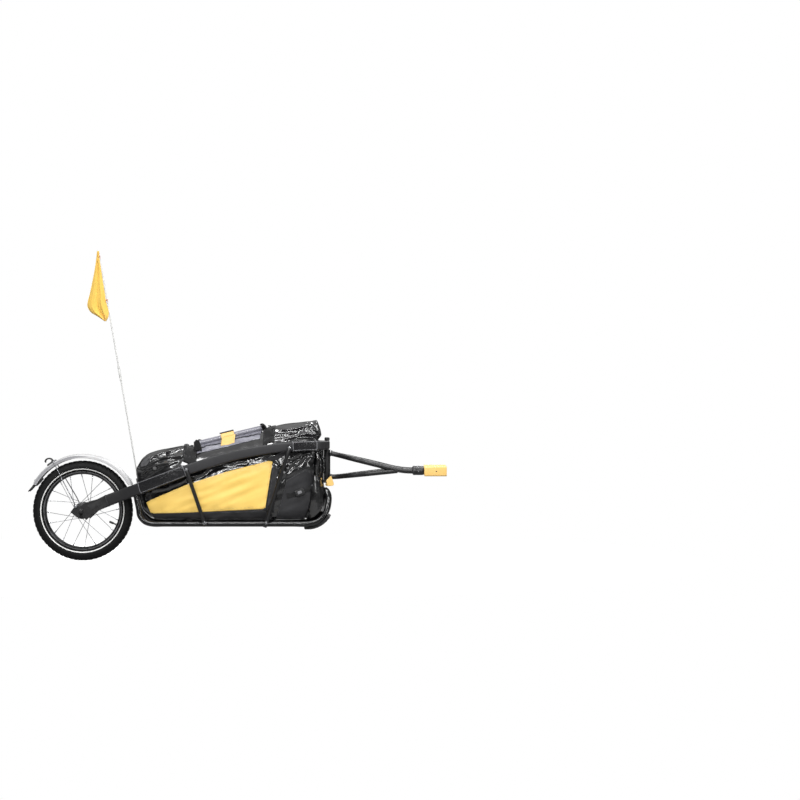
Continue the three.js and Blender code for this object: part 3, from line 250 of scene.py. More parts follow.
def roundedProfile(points, corner, steps=3):
    # rounds each corner of a closed outline
    out = []
    for i, p in enumerate(points):
        a, b, c = Vector(points[i - 1]), Vector(p), Vector(points[(i + 1) % len(points)])
        reach = min(corner, (a - b).length * 0.45, (c - b).length * 0.45)
        start, end = b + (a - b).normalized() * reach, b + (c - b).normalized() * reach
        for k in range(steps + 1):
            t = k / steps
            out.append(tuple(start * (1 - t) ** 2 + b * 2 * t * (1 - t) + end * t * t))
    return out


def roundedBox(halfWide, halfHigh, corner, steps=6):
    rows = []
    for sx, sz, first in ((1, 1, 0), (-1, 1, 90), (-1, -1, 180), (1, -1, 270)):
        for dx, dz in arc(0, 0, corner, [first + 90 * k / steps for k in range(steps + 1)]):
            rows.append((sx * (halfWide - corner) + dx, sz * (halfHigh - corner) + dz))
    return rows


def tapeRing(p, wide, out, corner=0.3, steps=3):
    # a flat section; wide and out are half its width and half its thickness
    square = [(-1, -1), (1, -1), (1, 1), (-1, 1)]
    return [p + (wide * u + out * v) * 0.001 for u, v in roundedProfile(square, corner, steps)]


def stacked(outline, levels, put):
    # the outline at several sizes and heights, each spot placed by put
    return ringSkin([[put(x * k, y * k, h) for x, y in outline] for k, h in levels])


def boxShape(low, high):
    (x0, y0, z0), (x1, y1, z1) = low, high
    verts = [at(x, y, z) for x in (x0, x1) for y in (y0, y1) for z in (z0, z1)]
    return verts, [(0, 1, 3, 2), (4, 6, 7, 5), (0, 4, 5, 1), (2, 3, 7, 6), (0, 2, 6, 4), (1, 5, 7, 3)]


def ribsRound(x, y, radius, half, low, high, count):
    # upright ribs in a circle
    spots = [(x + radius * math.cos(a), y + radius * math.sin(a)) for a in fullTurn(count)]
    return joined(*[boxShape((a - half, b - half, low), (a + half, b + half, high)) for a, b in spots])


def plateShape(outline, low, high, flat=False):
    # a plate cut from an outline of (x, z) rows between two distances along Y; flat has (x, y) rows along Z
    count = len(outline)
    verts = [at(x, y, v) if flat else at(x, v, y) for v in (low, high) for x, y in outline]
    turn = -1 if flat else 1
    faces = [tuple(range(count))[::turn], tuple(range(2 * count - 1, count - 1, -1))[::turn]]
    return verts, faces + [(i, (i + 1) % count, count + (i + 1) % count, count + i) for i in range(count)]


def carved(shape, *cutters):
    # the shape less the cutters, worked out once and given back as plain corners and faces
    things = [placed("carving", soundMesh("carving", *solid)) for solid in (shape,) + cutters]
    for tool in things[1:]:
        cut = things[0].modifiers.new("cut", 'BOOLEAN')
        cut.operation, cut.solver, cut.object = 'DIFFERENCE', 'EXACT', tool
    done = things[0].evaluated_get(bpy.context.evaluated_depsgraph_get()).to_mesh()
    result = [v.co.copy() for v in done.vertices], [tuple(f.vertices) for f in done.polygons]
    for thing in things:
        bpy.data.objects.remove(thing)
    return result


print("finishes")


def paint(red, green, blue):
    # a colour as a picture shows it, 0 to 255, turned into light
    def one(v):
        v /= 255
        return v / 12.92 if v <= 0.04045 else ((v + 0.055) / 1.055) ** 2.4
    return one(red), one(green), one(blue), 1.0


def addNode(tree, kind, inputs=None, **settings):
    node = tree.nodes.new(kind)
    for key, value in settings.items():
        setattr(node, key, value)
    for key, value in (inputs or {}).items():
        if isinstance(value, bpy.types.NodeSocket):
            tree.links.new(value, node.inputs[key])
        else:
            node.inputs[key].default_value = value
    return node


def stretched(tree, place, stretch, turn=(0, 0, 0)):
    return addNode(tree, "ShaderNodeMapping",
                   {"Vector": place, "Rotation": turn, "Scale": stretch}).outputs["Vector"]


def cloudy(tree, place, size, detail=4.0, roughness=0.55):
    # noise whose lumps are about the given size in metres
    return addNode(tree, "ShaderNodeTexNoise", {
        "Vector": place, "Scale": 1 / size, "Detail": detail, "Roughness": roughness}).outputs["Fac"]


def ranged(tree, value, low, high, fromLow=0.25, fromHigh=0.75):
    return addNode(tree, "ShaderNodeMapRange", {
        "Value": value, "From Min": fromLow, "From Max": fromHigh, "To Min": low,
        "To Max": high}).outputs["Result"]


def reckoned(tree, first, second, operation):
    return addNode(tree, "ShaderNodeMath", {0: first, 1: second}, operation=operation).outputs[0]


def blended(tree, share, first, second):
    return addNode(tree, "ShaderNodeMix", {0: share, 6: first, 7: second}, data_type='RGBA').outputs[2]


def threadWaves(tree, place, pitch):
    # crossed threads: the sum of ripples along the three directions
    ripples = [addNode(tree, "ShaderNodeTexWave", {
        "Vector": place, "Scale": math.pi / 10 / pitch, "Distortion": 0.15, "Detail": 1.0},
        wave_type='BANDS', bands_direction=direction).outputs["Fac"] for direction in ('X', 'Y', 'Z')]
    return reckoned(tree, reckoned(tree, ripples[0], ripples[1], 'ADD'), ripples[2], 'ADD')


def foldWaves(tree, place, size):
    # long soft folds that run the way the beams climb
    return cloudy(tree, stretched(tree, place, (0.05, 0.4, 1.0), (0, 0.32, 0)), size, 1.5, 0.4)


reliefKinds = {
    "threads": threadWaves, "folds": foldWaves,
    "grain": lambda tree, place, size: cloudy(tree, place, size, 3.0),
    "crumple": lambda tree, place, size: cloudy(tree, place, size, 2.0, 0.45),
    "drawn": lambda tree, place, size: cloudy(tree, stretched(tree, place, (0.12, 1.0, 1.0)), size, 3.0),
    "turned": lambda tree, place, size: cloudy(tree, stretched(tree, place, (1.0, 0.12, 1.0)), size, 3.0),
    "cells": lambda tree, place, size: addNode(
        tree, "ShaderNodeTexVoronoi", {"Vector": place, "Scale": 1 / size},
        feature='SMOOTH_F1').outputs["Distance"]}


def newFinish(name, colour, shade, rough, gloss, *relief, mottleSize=0.05, streakStretch=None, fleck=None,
              fleckSize=0.0015, fleckShare=0.5, worn=None, wornShare=0.6, paintedShadeEnd=None, roughSize=0.012,
              metal=0.0, coat=0.0, coatRough=0.1, sheen=0.0):
    # colours are 0 to 255; a relief row is its kind, its size and its depth in metres
    finish = bpy.data.materials.new(name)
    finish.use_nodes = True
    tree = finish.node_tree
    shader = tree.nodes["Principled BSDF"]
    place = addNode(tree, "ShaderNodeTexCoord").outputs["Object"]
    # a stretched mottle draws streaks; on the roll film these streaks are painted reflection
    spread = stretched(tree, place, streakStretch) if streakStretch else place
    mottle = ranged(tree, cloudy(tree, spread, mottleSize), 0.0, 1.0)
    shown = blended(tree, mottle, paint(*colour), paint(*shade))
    if fleck:
        speck = ranged(tree, cloudy(tree, place, fleckSize, 2.0), 0.0, fleckShare, 0.5, 0.75)
        shown = blended(tree, speck, shown, paint(*fleck))
    if worn:
        edge = addNode(tree, "ShaderNodeNewGeometry").outputs["Pointiness"]
        rubbed = ranged(tree, edge, 0.0, wornShare, 0.52, 0.6)
        patchy = ranged(tree, cloudy(tree, place, 0.02), 0.0, 1.0, 0.4, 0.65)
        shown = blended(tree, reckoned(tree, rubbed, patchy, 'MULTIPLY'), shown, paint(*worn))
    # painted shade: the colour darkens towards one end along X
    if paintedShadeEnd:
        endShade, start, end = paintedShadeEnd
        x = addNode(tree, "ShaderNodeSeparateXYZ", {"Vector": place}).outputs["X"]
        shown = blended(tree, ranged(tree, x, 1.0, 0.0, end, start), shown, paint(*endShade))
    tree.links.new(shown, shader.inputs["Base Color"])
    tree.links.new(ranged(tree, cloudy(tree, place, roughSize), *rough), shader.inputs["Roughness"])
    facing = None
    for kind, size, depth in relief:
        height = reliefKinds[kind](tree, place, size)
        bump = addNode(tree, "ShaderNodeBump", {"Height": height, "Strength": 1.0, "Distance": depth})
        if facing is not None:
            tree.links.new(facing, bump.inputs["Normal"])
        facing = bump.outputs["Normal"]
    tree.links.new(facing, shader.inputs["Normal"])
    for key, value in (("Metallic", metal), ("Specular IOR Level", gloss), ("Coat Weight", coat),
                       ("Coat Roughness", coatRough), ("Sheen Weight", sheen)):
        shader.inputs[key].default_value = value
    return finish


# the beam's rear end by the wheel is darkened as painted shade
beamPaint = newFinish(
    "powder-coated beam", (46, 46, 48), (40, 40, 42), (0.42, 0.54), 0.35, ("grain", 0.0012, 0.00004),
    ("crumple", 0.03, 0.0001), mottleSize=0.06, fleck=(56, 56, 58), fleckShare=0.35,
    paintedShadeEnd=((25, 25, 26), -0.34, -0.47), worn=(96, 96, 98), wornShare=0.3)
tubePaint = newFinish(
    "powder-coated tube", (22, 22, 23), (17, 17, 18), (0.34, 0.48), 0.45, ("grain", 0.001, 0.00004),
    fleck=(40, 40, 42), fleckShare=0.3, worn=(90, 90, 92), wornShare=0.3)
railGloss = newFinish(
    "gloss black tube", (15, 15, 17), (11, 11, 12), (0.12, 0.2), 0.5, ("crumple", 0.02, 0.00008),
    worn=(84, 84, 86), wornShare=0.3)
weldBead = newFinish(
    "painted weld", (46, 46, 48), (34, 34, 36), (0.3, 0.5), 0.5, ("cells", 0.003, 0.0004), mottleSize=0.01)
bagTarp = newFinish(
    "coated bag cloth", (13, 13, 15), (9, 9, 10), (0.13, 0.24), 0.8, ("threads", 0.0011, 0.00001),
    ("folds", 0.022, 0.0028), ("crumple", 0.09, 0.0003), mottleSize=0.08, fleck=(20, 20, 22),
    fleckShare=0.25,
    roughSize=0.03, coat=0.7, coatRough=0.07)
patchCloth = newFinish(
    "matte reinforcing cloth", (42, 42, 44), (35, 35, 37), (0.55, 0.68), 0.35, ("threads", 0.0009, 0.00006),
    ("crumple", 0.03, 0.0006), mottleSize=0.04, fleck=(50, 50, 52))
paleCloth = newFinish(
    "faded reinforcing cloth", (84, 84, 86), (62, 62, 64), (0.5, 0.65), 0.35, ("threads", 0.0009, 0.00006),
    mottleSize=0.03)
flapTarp = newFinish(
    "coated flap cloth", (27, 27, 29), (20, 20, 22), (0.2, 0.32), 0.55, ("threads", 0.0011, 0.00004),
    ("folds", 0.014, 0.0016), ("crumple", 0.03, 0.0007), fleck=(35, 35, 37))
strapWeave = newFinish(
    "woven strap", (15, 15, 16), (11, 11, 12), (0.6, 0.75), 0.3, ("threads", 0.0016, 0.00018),
    mottleSize=0.02,
    fleck=(26, 26, 28), sheen=0.05)
# light grey for the flaps' welts and rounded edges: painted highlight
weltPaintedHighlight = newFinish(
    "welt with painted highlight", (150, 150, 154), (110, 110, 114), (0.35, 0.5), 0.45, ("threads", 0.0012, 0.00006),
    mottleSize=0.02)
yellowTarp = newFinish(
    "yellow coated cloth", (243, 206, 112), (238, 197, 98), (0.36, 0.5), 0.4, ("threads", 0.0011, 0.00003),
    ("crumple", 0.06, 0.0007), mottleSize=0.09, fleck=(247, 214, 126), fleckShare=0.3)
yellowShell = newFinish(
    "moulded yellow", (238, 198, 122), (232, 190, 108), (0.3, 0.42), 0.45, ("grain", 0.0009, 0.00003),
    mottleSize=0.03, fleck=(236, 190, 96), fleckShare=0.2, fleckSize=0.004)
# light grey streaked along the roll with violet-grey: painted reflection of the lights on the glossy black
# film
filmPaintedReflection = newFinish(
    "film with painted reflection", (150, 150, 158), (84, 83, 96), (0.2, 0.34), 0.5, ("crumple", 0.03, 0.0012),
    ("threads", 0.0012, 0.00003), mottleSize=0.02, streakStretch=(0.06, 1.0, 1.0))
flagCloth = newFinish(
    "flag cloth", (226, 188, 92), (216, 176, 78), (0.6, 0.75), 0.25, ("threads", 0.0007, 0.00004),
    ("crumple", 0.03, 0.0006), fleck=(232, 198, 110), fleckShare=0.25, sheen=0.2)
tyreRubber = newFinish(
    "tyre rubber", (13, 13, 14), (9, 9, 10), (0.55, 0.72), 0.2, ("grain", 0.0015, 0.00006), mottleSize=0.04,
    fleck=(24, 24, 23), fleckShare=0.35, worn=(46, 45, 44), wornShare=0.5)
flapRubber = newFinish(
    "moulded rubber", (28, 28, 29), (21, 21, 22), (0.5, 0.66), 0.35, ("grain", 0.0012, 0.00006),
    mottleSize=0.03, worn=(66, 65, 64), wornShare=0.4)
reflectRing = newFinish(
    "reflective band", (232, 232, 230), (216, 216, 214), (0.35, 0.5), 0.5, ("cells", 0.0006, 0.00003),
    mottleSize=0.02)
rimAlloy = newFinish(
    "anodised rim", (18, 18, 19), (13, 13, 14), (0.26, 0.38), 0.5, ("turned", 0.002, 0.00003),
    mottleSize=0.03,
    metal=0.1, worn=(120, 120, 122), wornShare=0.4)
spokeSteel = newFinish(
    "drawn spoke steel", (140, 141, 144), (112, 113, 116), (0.25, 0.4), 0.5, ("drawn", 0.001, 0.00002),
    mottleSize=0.01, metal=0.9)
turnedSteel = newFinish(
    "turned steel", (186, 187, 190), (158, 159, 163), (0.2, 0.34), 0.5, ("turned", 0.0012, 0.00003),
    mottleSize=0.008, metal=1.0)
silverMoulding = newFinish(
    "silver moulding", (196, 196, 196), (180, 180, 182), (0.3, 0.42), 0.55, ("grain", 0.0011, 0.00002),
    ("crumple", 0.04, 0.0003), fleck=(212, 212, 212), fleckShare=0.4)
# darker silver for the fender's rolled lips and side bands: painted shade
silverPaintedShade = newFinish(
    "silver moulding in painted shade", (150, 150, 153), (134, 134, 138), (0.34, 0.46), 0.5,
    ("grain", 0.0011, 0.00002))
greyMoulding = newFinish(
    "grey moulding", (120, 120, 123), (100, 100, 103), (0.36, 0.5), 0.5, ("grain", 0.001, 0.00004),
    mottleSize=0.02)
blackMoulding = newFinish(
    "black moulding", (31, 31, 32), (24, 24, 25), (0.38, 0.52), 0.45, ("grain", 0.001, 0.00005),
    mottleSize=0.02, worn=(70, 70, 71), wornShare=0.3)
whiteRod = newFinish(
    "glass-fibre rod", (206, 206, 204), (190, 190, 188), (0.3, 0.42), 0.5, ("drawn", 0.002, 0.00003),
    mottleSize=0.03)
redTie = newFinish(
    "reddish tie", (196, 112, 84), (176, 92, 70), (0.45, 0.6), 0.4, ("threads", 0.001, 0.00008),
    mottleSize=0.01)
tubeRubber = newFinish(
    "inner tube rubber", (40, 40, 41), (32, 32, 33), (0.5, 0.65), 0.35, ("grain", 0.002, 0.00005))
# the same yellow cloth as the panels, paler where the grip faces the light above: painted sheen
gripPaintedSheen = newFinish(
    "yellow cloth with painted sheen", (228, 190, 122), (220, 182, 110), (0.4, 0.55), 0.35, ("threads", 0.0011, 0.00003),
    ("crumple", 0.03, 0.0005), mottleSize=0.03)
# darker film for the folds of the closure layer: painted shade in the creases
filmPaintedShade = newFinish(
    "film in painted shade", (96, 95, 110), (70, 70, 82), (0.3, 0.45), 0.5, ("crumple", 0.02, 0.0005),
    mottleSize=0.03)
patchStitch = newFinish(
    "yellow thread", (214, 176, 78), (196, 158, 62), (0.6, 0.75), 0.3, ("drawn", 0.0005, 0.00005),
    mottleSize=0.004)

print("camera and light")

viewPlan = {
    "eye": (650.8, -9500.0, 641.2), "widthSeen": 3200.0, "keyLight": 255.0, "fillLight": 70.0,
    "skyLight": 0.35, "aim": (0, 0, 0.35), "roomGlow": (0.07, 0.75), "floorGlow": 0.5,
    "floorFade": (1.0, 1.9),
    # name, place, size and share of the key light
    "lamps": (("key over the left shoulder", (-1.6, -3.4, 4.2), (1.5, 0.9), 0.42),
              ("strip at eye height", (-0.3, -5.0, 1.9), (3.4, 0.07), 0.27),
              ("strip higher up", (0.4, -4.6, 3.1), (3.8, 0.09), 0.29),
              ("strip at the front", (3.4, -2.2, 1.6), (0.16, 1.8), 0.1))}


def placeCamera():
    lens = bpy.data.cameras.new("photo camera")
    lens.sensor_fit = 'HORIZONTAL'
    lens.angle = 2 * math.atan(viewPlan["widthSeen"] / 2 / -viewPlan["eye"][1])
    lens.clip_end = 60
    eye = placed("photo camera", lens)
    eye.location = at(*viewPlan["eye"])
    eye.rotation_euler = (math.pi / 2, 0, 0)
    bpy.context.scene.camera = eye


def placeLamp(name, place, size, power, aim=viewPlan["aim"]):
    lamp = bpy.data.lights.new(name, 'AREA')
    lamp.shape = 'RECTANGLE'
    lamp.size, lamp.size_y = size
    lamp.energy = power
    holder = placed(name, lamp)
    holder.location = place
    holder.rotation_euler = (Vector(aim) - Vector(place)).to_track_quat('-Z', 'Y').to_euler()


def whiteForLens(tree, plain, mirrored, white):
    # the lens sees white, mirrored rays see a dim room, and the object is lit by the plain level
    rays = addNode(tree, "ShaderNodeLightPath").outputs
    lens = reckoned(tree, rays["Is Camera Ray"], rays["Is Transmission Ray"], 'MAXIMUM')
    way = addNode(tree, "ShaderNodeTexCoord").outputs["Generated"]
    height = addNode(tree, "ShaderNodeSeparateXYZ", {"Vector": way}).outputs["Z"]
    room = ranged(tree, height, mirrored[0], mirrored[1], 0.3, 0.8)
    level = ranged(tree, rays["Is Glossy Ray"], plain, room, 0.0, 1.0)
    return ranged(tree, lens, level, white, 0.0, 1.0)


def lightStudio():
    sky = bpy.data.worlds.new("studio sky")
    bpy.context.scene.world = sky
    sky.use_nodes = True
    glow = sky.node_tree.nodes["Background"]
    glow.inputs["Color"].default_value = (1, 1, 1, 1)
    level = whiteForLens(sky.node_tree, viewPlan["skyLight"], viewPlan["roomGlow"], 1.0)
    sky.node_tree.links.new(level, glow.inputs["Strength"])
    for name, place, size, share in viewPlan["lamps"]:
        placeLamp(name, place, size, viewPlan["keyLight"] * share)
    placeLamp("narrow overhead", (0.6, -1.1, 3.6), (2.4, 0.25), viewPlan["keyLight"] * 0.3, (0, 0, 0.4))
    placeLamp("fill from behind", (1.2, 3.6, 3.0), (2.0, 1.2), viewPlan["fillLight"], (0, 0, 0.4))
    bpy.context.scene.view_settings.view_transform = 'Standard'


def layFloor():
    floor = bpy.data.materials.new("pale floor")
    floor.use_nodes = True
    tree = floor.node_tree
    shader = tree.nodes["Principled BSDF"]
    seen = addNode(tree, "ShaderNodeLightPath").outputs["Is Camera Ray"]
    tone = blended(tree, seen, (0.34, 0.34, 0.34, 1), (0.94, 0.94, 0.94, 1))
    tree.links.new(tone, shader.inputs["Base Color"])
    shader.inputs["Emission Color"].default_value = (1, 1, 1, 1)
    glow = ranged(tree, seen, 0.0, viewPlan["floorGlow"], 0.0, 1.0)
    tree.links.new(glow, shader.inputs["Emission Strength"])
    shader.inputs["Roughness"].default_value = 0.9
    shader.inputs["Specular IOR Level"].default_value = 0.1
    # away from the object the floor turns into plain white light, so no horizon shows
    place = addNode(tree, "ShaderNodeTexCoord").outputs["Object"]
    away = addNode(tree, "ShaderNodeVectorMath", {0: place}, operation='LENGTH').outputs["Value"]
    near, far = viewPlan["floorFade"]
    fade = addNode(tree, "ShaderNodeMapRange", {"Value": away, "From Min": near, "From Max": far},
                   interpolation_type='SMOOTHSTEP').outputs["Result"]
    plain = addNode(tree, "ShaderNodeEmission", {"Strength": ranged(tree, seen, 0.3, 1.0, 0.0, 1.0)})
    both = addNode(tree, "ShaderNodeMixShader", {
        "Fac": fade, 1: shader.outputs["BSDF"], 2: plain.outputs["Emission"]})
    tree.links.new(both.outputs["Shader"], tree.nodes["Material Output"].inputs["Surface"])
    mesh = bpy.data.meshes.new("floor")
    mesh.from_pydata([(-14, -16, 0), (14, -16, 0), (14, 14, 0), (-14, 14, 0)], [], [(0, 1, 2, 3)])
    mesh.materials.append(floor)
    ground = placed("floor", mesh)


placeCamera()
lightStudio()
layFloor()

print("wheel")

hubX, hubZ = -617.0, 199.5
hub = at(hubX, 0, hubZ)
wheelPlan = {
    "tyreHalfWidth": 23.3, "tyreMiddle": 175.6, "tyreHigh": 23.2, "rimInner": 145.4, "rimHalfWidth": 12.5,
    "treadBlocks": 62, "treadDepth": 1.7, "ringRadius": 166.0, "ringWidth": 3.8, "spokesEachSide": 10,
    "spokeRadius": 1.0, "spokeFirst": {-1: 2.5, 1: 20.5}, "valveAngle": -23.0, "leverAngle": 22.0}


def aroundHub(radius, degreesUp, y=0.0):
    a = math.radians(degreesUp)
    return hub + at(radius * math.cos(a), y, radius * math.sin(a))


def treadLift(turn, reach):
    # how far a spot of the casing stands out; turn counts the blocks, reach is in degrees from the middle
    if reach < 8:
        return 0.35 if (turn * 2) % 1 < 0.8 else 0.0
    if reach < 62:
        block = (turn + reach / 62 * 0.9) % 1 < 0.62 and not 30 < reach < 34
        return wheelPlan["treadDepth"] * (1 - 0.35 * max(0, (reach - 46) / 16)) if block else 0.0
    if reach < 72:
        return 0.5 if turn % 1 < 0.5 else 0.0
    return 0.35 if 95 < reach < 98 or 112 < reach < 115 else 0.0


def makeTyre():
    # a round casing with beads, shoulder blocks in chevrons and a raised line in the middle
    plan = wheelPlan
    steps, middle = plan["treadBlocks"] * 8, plan["tyreMiddle"]
    high, wide = plan["tyreHigh"], plan["tyreHalfWidth"]
    leans = [math.radians(134) * (1 - i / 22) for i in range(45)]
    inner = evenSection([(158.3, -10.4), (153.2, -10.4), (153.2, -7.6), (160.4, -7.6), (160.8, -13.6),
                         (170, -20), (180, -19.4), (190, -13.5)], [(195.4, 0)])
    verts = []
    for s, angle in enumerate(fullTurn(steps)):
        ring = []
        for a in leans:
            reach = abs(math.degrees(a))
            lift = treadLift(s / steps * plan["treadBlocks"], reach)
            out = -plan["treadDepth"] + 1.4 + lift if reach < 72 else lift * 0.4
            ring.append((middle + (high + out) * math.cos(a), (wide + out * 0.6) * math.sin(a)))
        verts += [hub + at(r * math.cos(angle), y, r * math.sin(angle)) for r, y in ring + inner]
    casing = verts, quads(steps, len(leans) + len(inner), True)
    makePiece("tyre_casing", casing, tyreRubber, "wheel", ("tyre",), crease=38)
    for side in (-1, 1):
        band = []
        for k in range(7):
            radius = plan["ringRadius"] + plan["ringWidth"] * (k / 6 - 0.5)
            lean = math.acos(min(1, max(-1, (radius - middle) / high)))
            band.append((radius, side * (wide * math.sin(lean) + 0.28)))
        ring = spun(band + [(r, y - side * 0.6) for r, y in reversed(band)], hub, 160)
        makePiece("reflective_ring_" + sideName(side), ring, reflectRing, "wheel")


def makeRim():
    w, inner = wheelPlan["rimHalfWidth"], wheelPlan["rimInner"]
    section = evenSection([(inner, -4.5), (inner + 2.2, -8.5), (150.5, -w), (157.4, -w), (158, 0.9 - w),
                           (157.4, 1.9 - w), (152.6, 2.1 - w), (152.4, -7), (150.2, -4)])
    makePiece("rim_section", spun(section, hub, 180), rimAlloy, "wheel", ("rim",), crease=24)
    for side in (-1, 1):
        line = [(r, side * (w + y)) for r, y in ((154.2, 0.02), (155.4, 0.02), (155.4, -0.3), (154.2, -0.3))]
        makePiece("rim_wear_line_" + sideName(side), spun(line, hub, 120), greyMoulding, "wheel")


def makeSpokes():
    # ten laced spokes a side, each with its nipple, head and elbow
    plan = wheelPlan
    head = [(0, 0), (1.9, 0), (1.9, 0.7), (1.2, 1.5), (0, 1.7)]
    nipple = [(0, 0), (1.5, 0), (1.9, 0.6), (2.0, 6), (1.6, 7.5), (2.3, 9), (2.3, 12.4), (0, 12.8)]
    for side in (-1, 1):
        wires, nipples = [], []
        for i in range(plan["spokesEachSide"]):
            rimAngle = plan["spokeFirst"][side] + i * 360 / plan["spokesEachSide"]
            lead = -72 if i % 2 == 0 else 72
            elbow = aroundHub(29.5, rimAngle + lead, side * 25.2)
            neck = aroundHub(29.5, rimAngle + lead, side * 30.6)
            end = aroundHub(144.6, rimAngle, side * 2)
            line = [neck, elbow.lerp(neck, 0.3), elbow.lerp(end, 0.03), elbow.lerp(end, 0.3), end]
            wires.append(tubeAlong(smoothPath(line, 26), plan["spokeRadius"], 8))
            wires.append(lathed(head, (0, side, 0), neck - at(0, side * 0.4, 0), 12))
            run = (end - elbow).normalized()
            nipples.append(lathed(nipple, run, end - run * 0.0125, 12))
        label = "spokes_" + sideName(side)
        makePiece("spoke_wires_" + sideName(side), joined(*wires), spokeSteel, "wheel", (label,))
        makePiece("spoke_nipples_" + sideName(side), joined(*nipples), turnedSteel, "wheel")


def makeHub():
    section = evenSection([(5.3, -44), (14.2, -44), (14.6, -43.4), (14.6, -34), (16.5, -31.4), (32.4, -29.5),
                           (33, -28.9), (33, -27.2), (32.2, -26.5), (19, -26.3), (14.4, -23.5), (13.2, -17)],
                          [(13, 0)])
    makePiece("hub_barrel", spun(section, hub, 72), blackMoulding, "wheel", ("hub_shell",), crease=40)
    seal = [(5.4, 43.2), (6.8, 44.1), (9.6, 43.7), (10.9, 44.1), (11, 37.4), (5.4, 37.4)]
    eyelet = [(1.3, 0), (2.4, 0), (2.4, 0.35), (1.3, 0.35)]
    eyelets = []
    for side in (-1, 1):
        label = sideName(side)
        shape = spun([(r, side * y) for r, y in seal], hub, 48)
        makePiece("bearing_seal_" + label, shape, turnedSteel, "wheel", ("bearing_" + label,))
        for i in range(10):
            spot = aroundHub(29.5, wheelPlan["spokeFirst"][side] + 72 + i * 36, side * 29.6)
            eyelets.append(lathed(eyelet, (0, side, 0), spot, 14, True))
    makePiece("spoke_eyelets", joined(*eyelets), turnedSteel, "wheel")


def makeAxleEnds():
    axle = evenSection([(2.9, -63.7), (4.4, -63.7), (5, -63.1), (5, -51.7), (8, -51.7), (8, -44.6),
                        (5.1, -44.4)])
    makePiece("axle_with_spacers", spun(axle, hub, 36), turnedSteel, "frame", ("axle",))
    nut = [(0, -76.2), (5.2, -76.3), (7.2, -75.2), (8.4, -73), (8.5, -66.5), (8.1, -64.6), (2.9, -64.3),
           (2.9, -73)]
    rod = [(0, -64), (2.5, -64), (2.5, 64.2), (0, 64.2)]
    skewer = joined(spun(nut, hub, 40, 'Y', False), spun(rod, hub, 24, 'Y', False))
    makePiece("skewer_with_nut", skewer, blackMoulding, "frame", ("skewer",))
    ribs = [boxShape((x - 0.45, -72.6, z - 0.45), (x + 0.45, -66.4, z + 0.45))
            for x, z in arc(hubX, hubZ, 8.35, range(0, 360, 18))]
    makePiece("skewer_nut_grip", joined(*ribs), blackMoulding)
    washer = [(3, -64.25), (9.6, -64.25), (9.9, -64.15), (9.9, -64.02), (3, -64.02)]
    makePiece("skewer_washer", spun(washer, hub, 36), blackMoulding)


def makeTubeAndValve():
    out = (aroundHub(1000, wheelPlan["valveAngle"]) - hub).normalized()
    tube = spun([(176.8 + 15.4 * math.cos(a), 15.4 * math.sin(a)) for a in fullTurn(20)], hub, 90)
    stem = [(0, 0), (2.4, 0), (2.9, 0.8), (2.9, 14), (2.7, 14.4), (2.9, 14.8), (2.9, 40), (4.6, 43),
            (4.6, 46), (0, 46)]
    shape = joined(tube, lathed(stem, out, hub + out * 0.1142, 20))
    makePiece("inner_tube_ring", shape, tubeRubber, "wheel", ("inner_tube",))
    cap = [(0, 0), (2.4, 0.1), (3.6, 1.4), (4.3, 3.6), (4.4, 16.5), (4.1, 17.8), (0, 18)]
    shape = joined(spun(cap, Vector(), 24, 'Z', False), ribsRound(0, 0, 4.1, 0.3, 5, 16, 14))
    makePiece("valve_cap", moved(shape, turnedTo(out, hub + out * 0.1141)), blackMoulding, "wheel")
    lock = [(2.9, 0), (5.2, 0), (5.6, 0.5), (5.6, 1.8), (2.9, 1.8)]
    makePiece("valve_ring", lathed(lock, out, hub + out * 0.1433, 20, True), turnedSteel, "wheel")


def makeSkewerLever():
    y0 = 64.6
    cam = spun(evenSection([(0, -7), (5.8, -7), (7, -6)]), hub + at(0, y0 + 7, 0), 36, 'Z', False)
    outline = evenSection([(0, -4.9), (30, -4.2), (48, -5.6), (61, -6.9), (65.5, -4.6)], [(66.3, 0)])
    inset = evenSection([(34, -2.2), (56, -3.4)], [(58, 0)])
    lean = Matrix.Rotation(-math.radians(wheelPlan["leverAngle"]), 4, 'Y')
    lean = Matrix.Translation(hub) @ lean @ Matrix.Translation(-hub)
    arm, dish = ([(hubX + x, hubZ + z) for x, z in rows] for rows in (outline, inset))
    handle = joined(cam, plateShape(arm, y0 + 4.2, y0 + 9.8))
    makePiece("skewer_lever_handle", moved(handle, lean), blackMoulding, "skewer_lever", ("skewer_lever",),
              bevel=1.2, bevelSteps=3)
    dish = moved(plateShape(dish, y0 + 9.75, y0 + 10.0), lean)
    makePiece("skewer_lever_inset", dish, greyMoulding, "skewer_lever")


makeTyre()
makeRim()
makeSpokes()
makeHub()
makeAxleEnds()
makeTubeAndValve()
makeSkewerLever()

print("frame")

beamPlan = {
    "rearX": -514.0, "frontX": 330.0, "rearY": 61.0, "midY": 139.0, "frontY": 92.0, "rearZ": 240.5,
    "frontZ": 461.0, "thickness": 22.0, "rearHeight": 46.0, "frontHeight": 34.0, "corner": 6.0,
    "jointShare": 0.446,
    "route": [(0, 0, 0), (0.076, 0.064, 0.112), (0.135, 0.27, 0.197), (0.206, 0.62, 0.3),
              (0.289, 0.89, 0.425), (0.4, 0.985, 0.587), (0.517, 1, 0.73), (0.634, 1, 0.85),
              (0.774, 0.985, 0.943)],
    "nose": [(0.86, 0.87, 0.98), (0.94, 0.46, 0.997), (1, 0, 1)],
    "bow": [(0.52, 0.66), (0.88, 0.32), (1, 0)]}


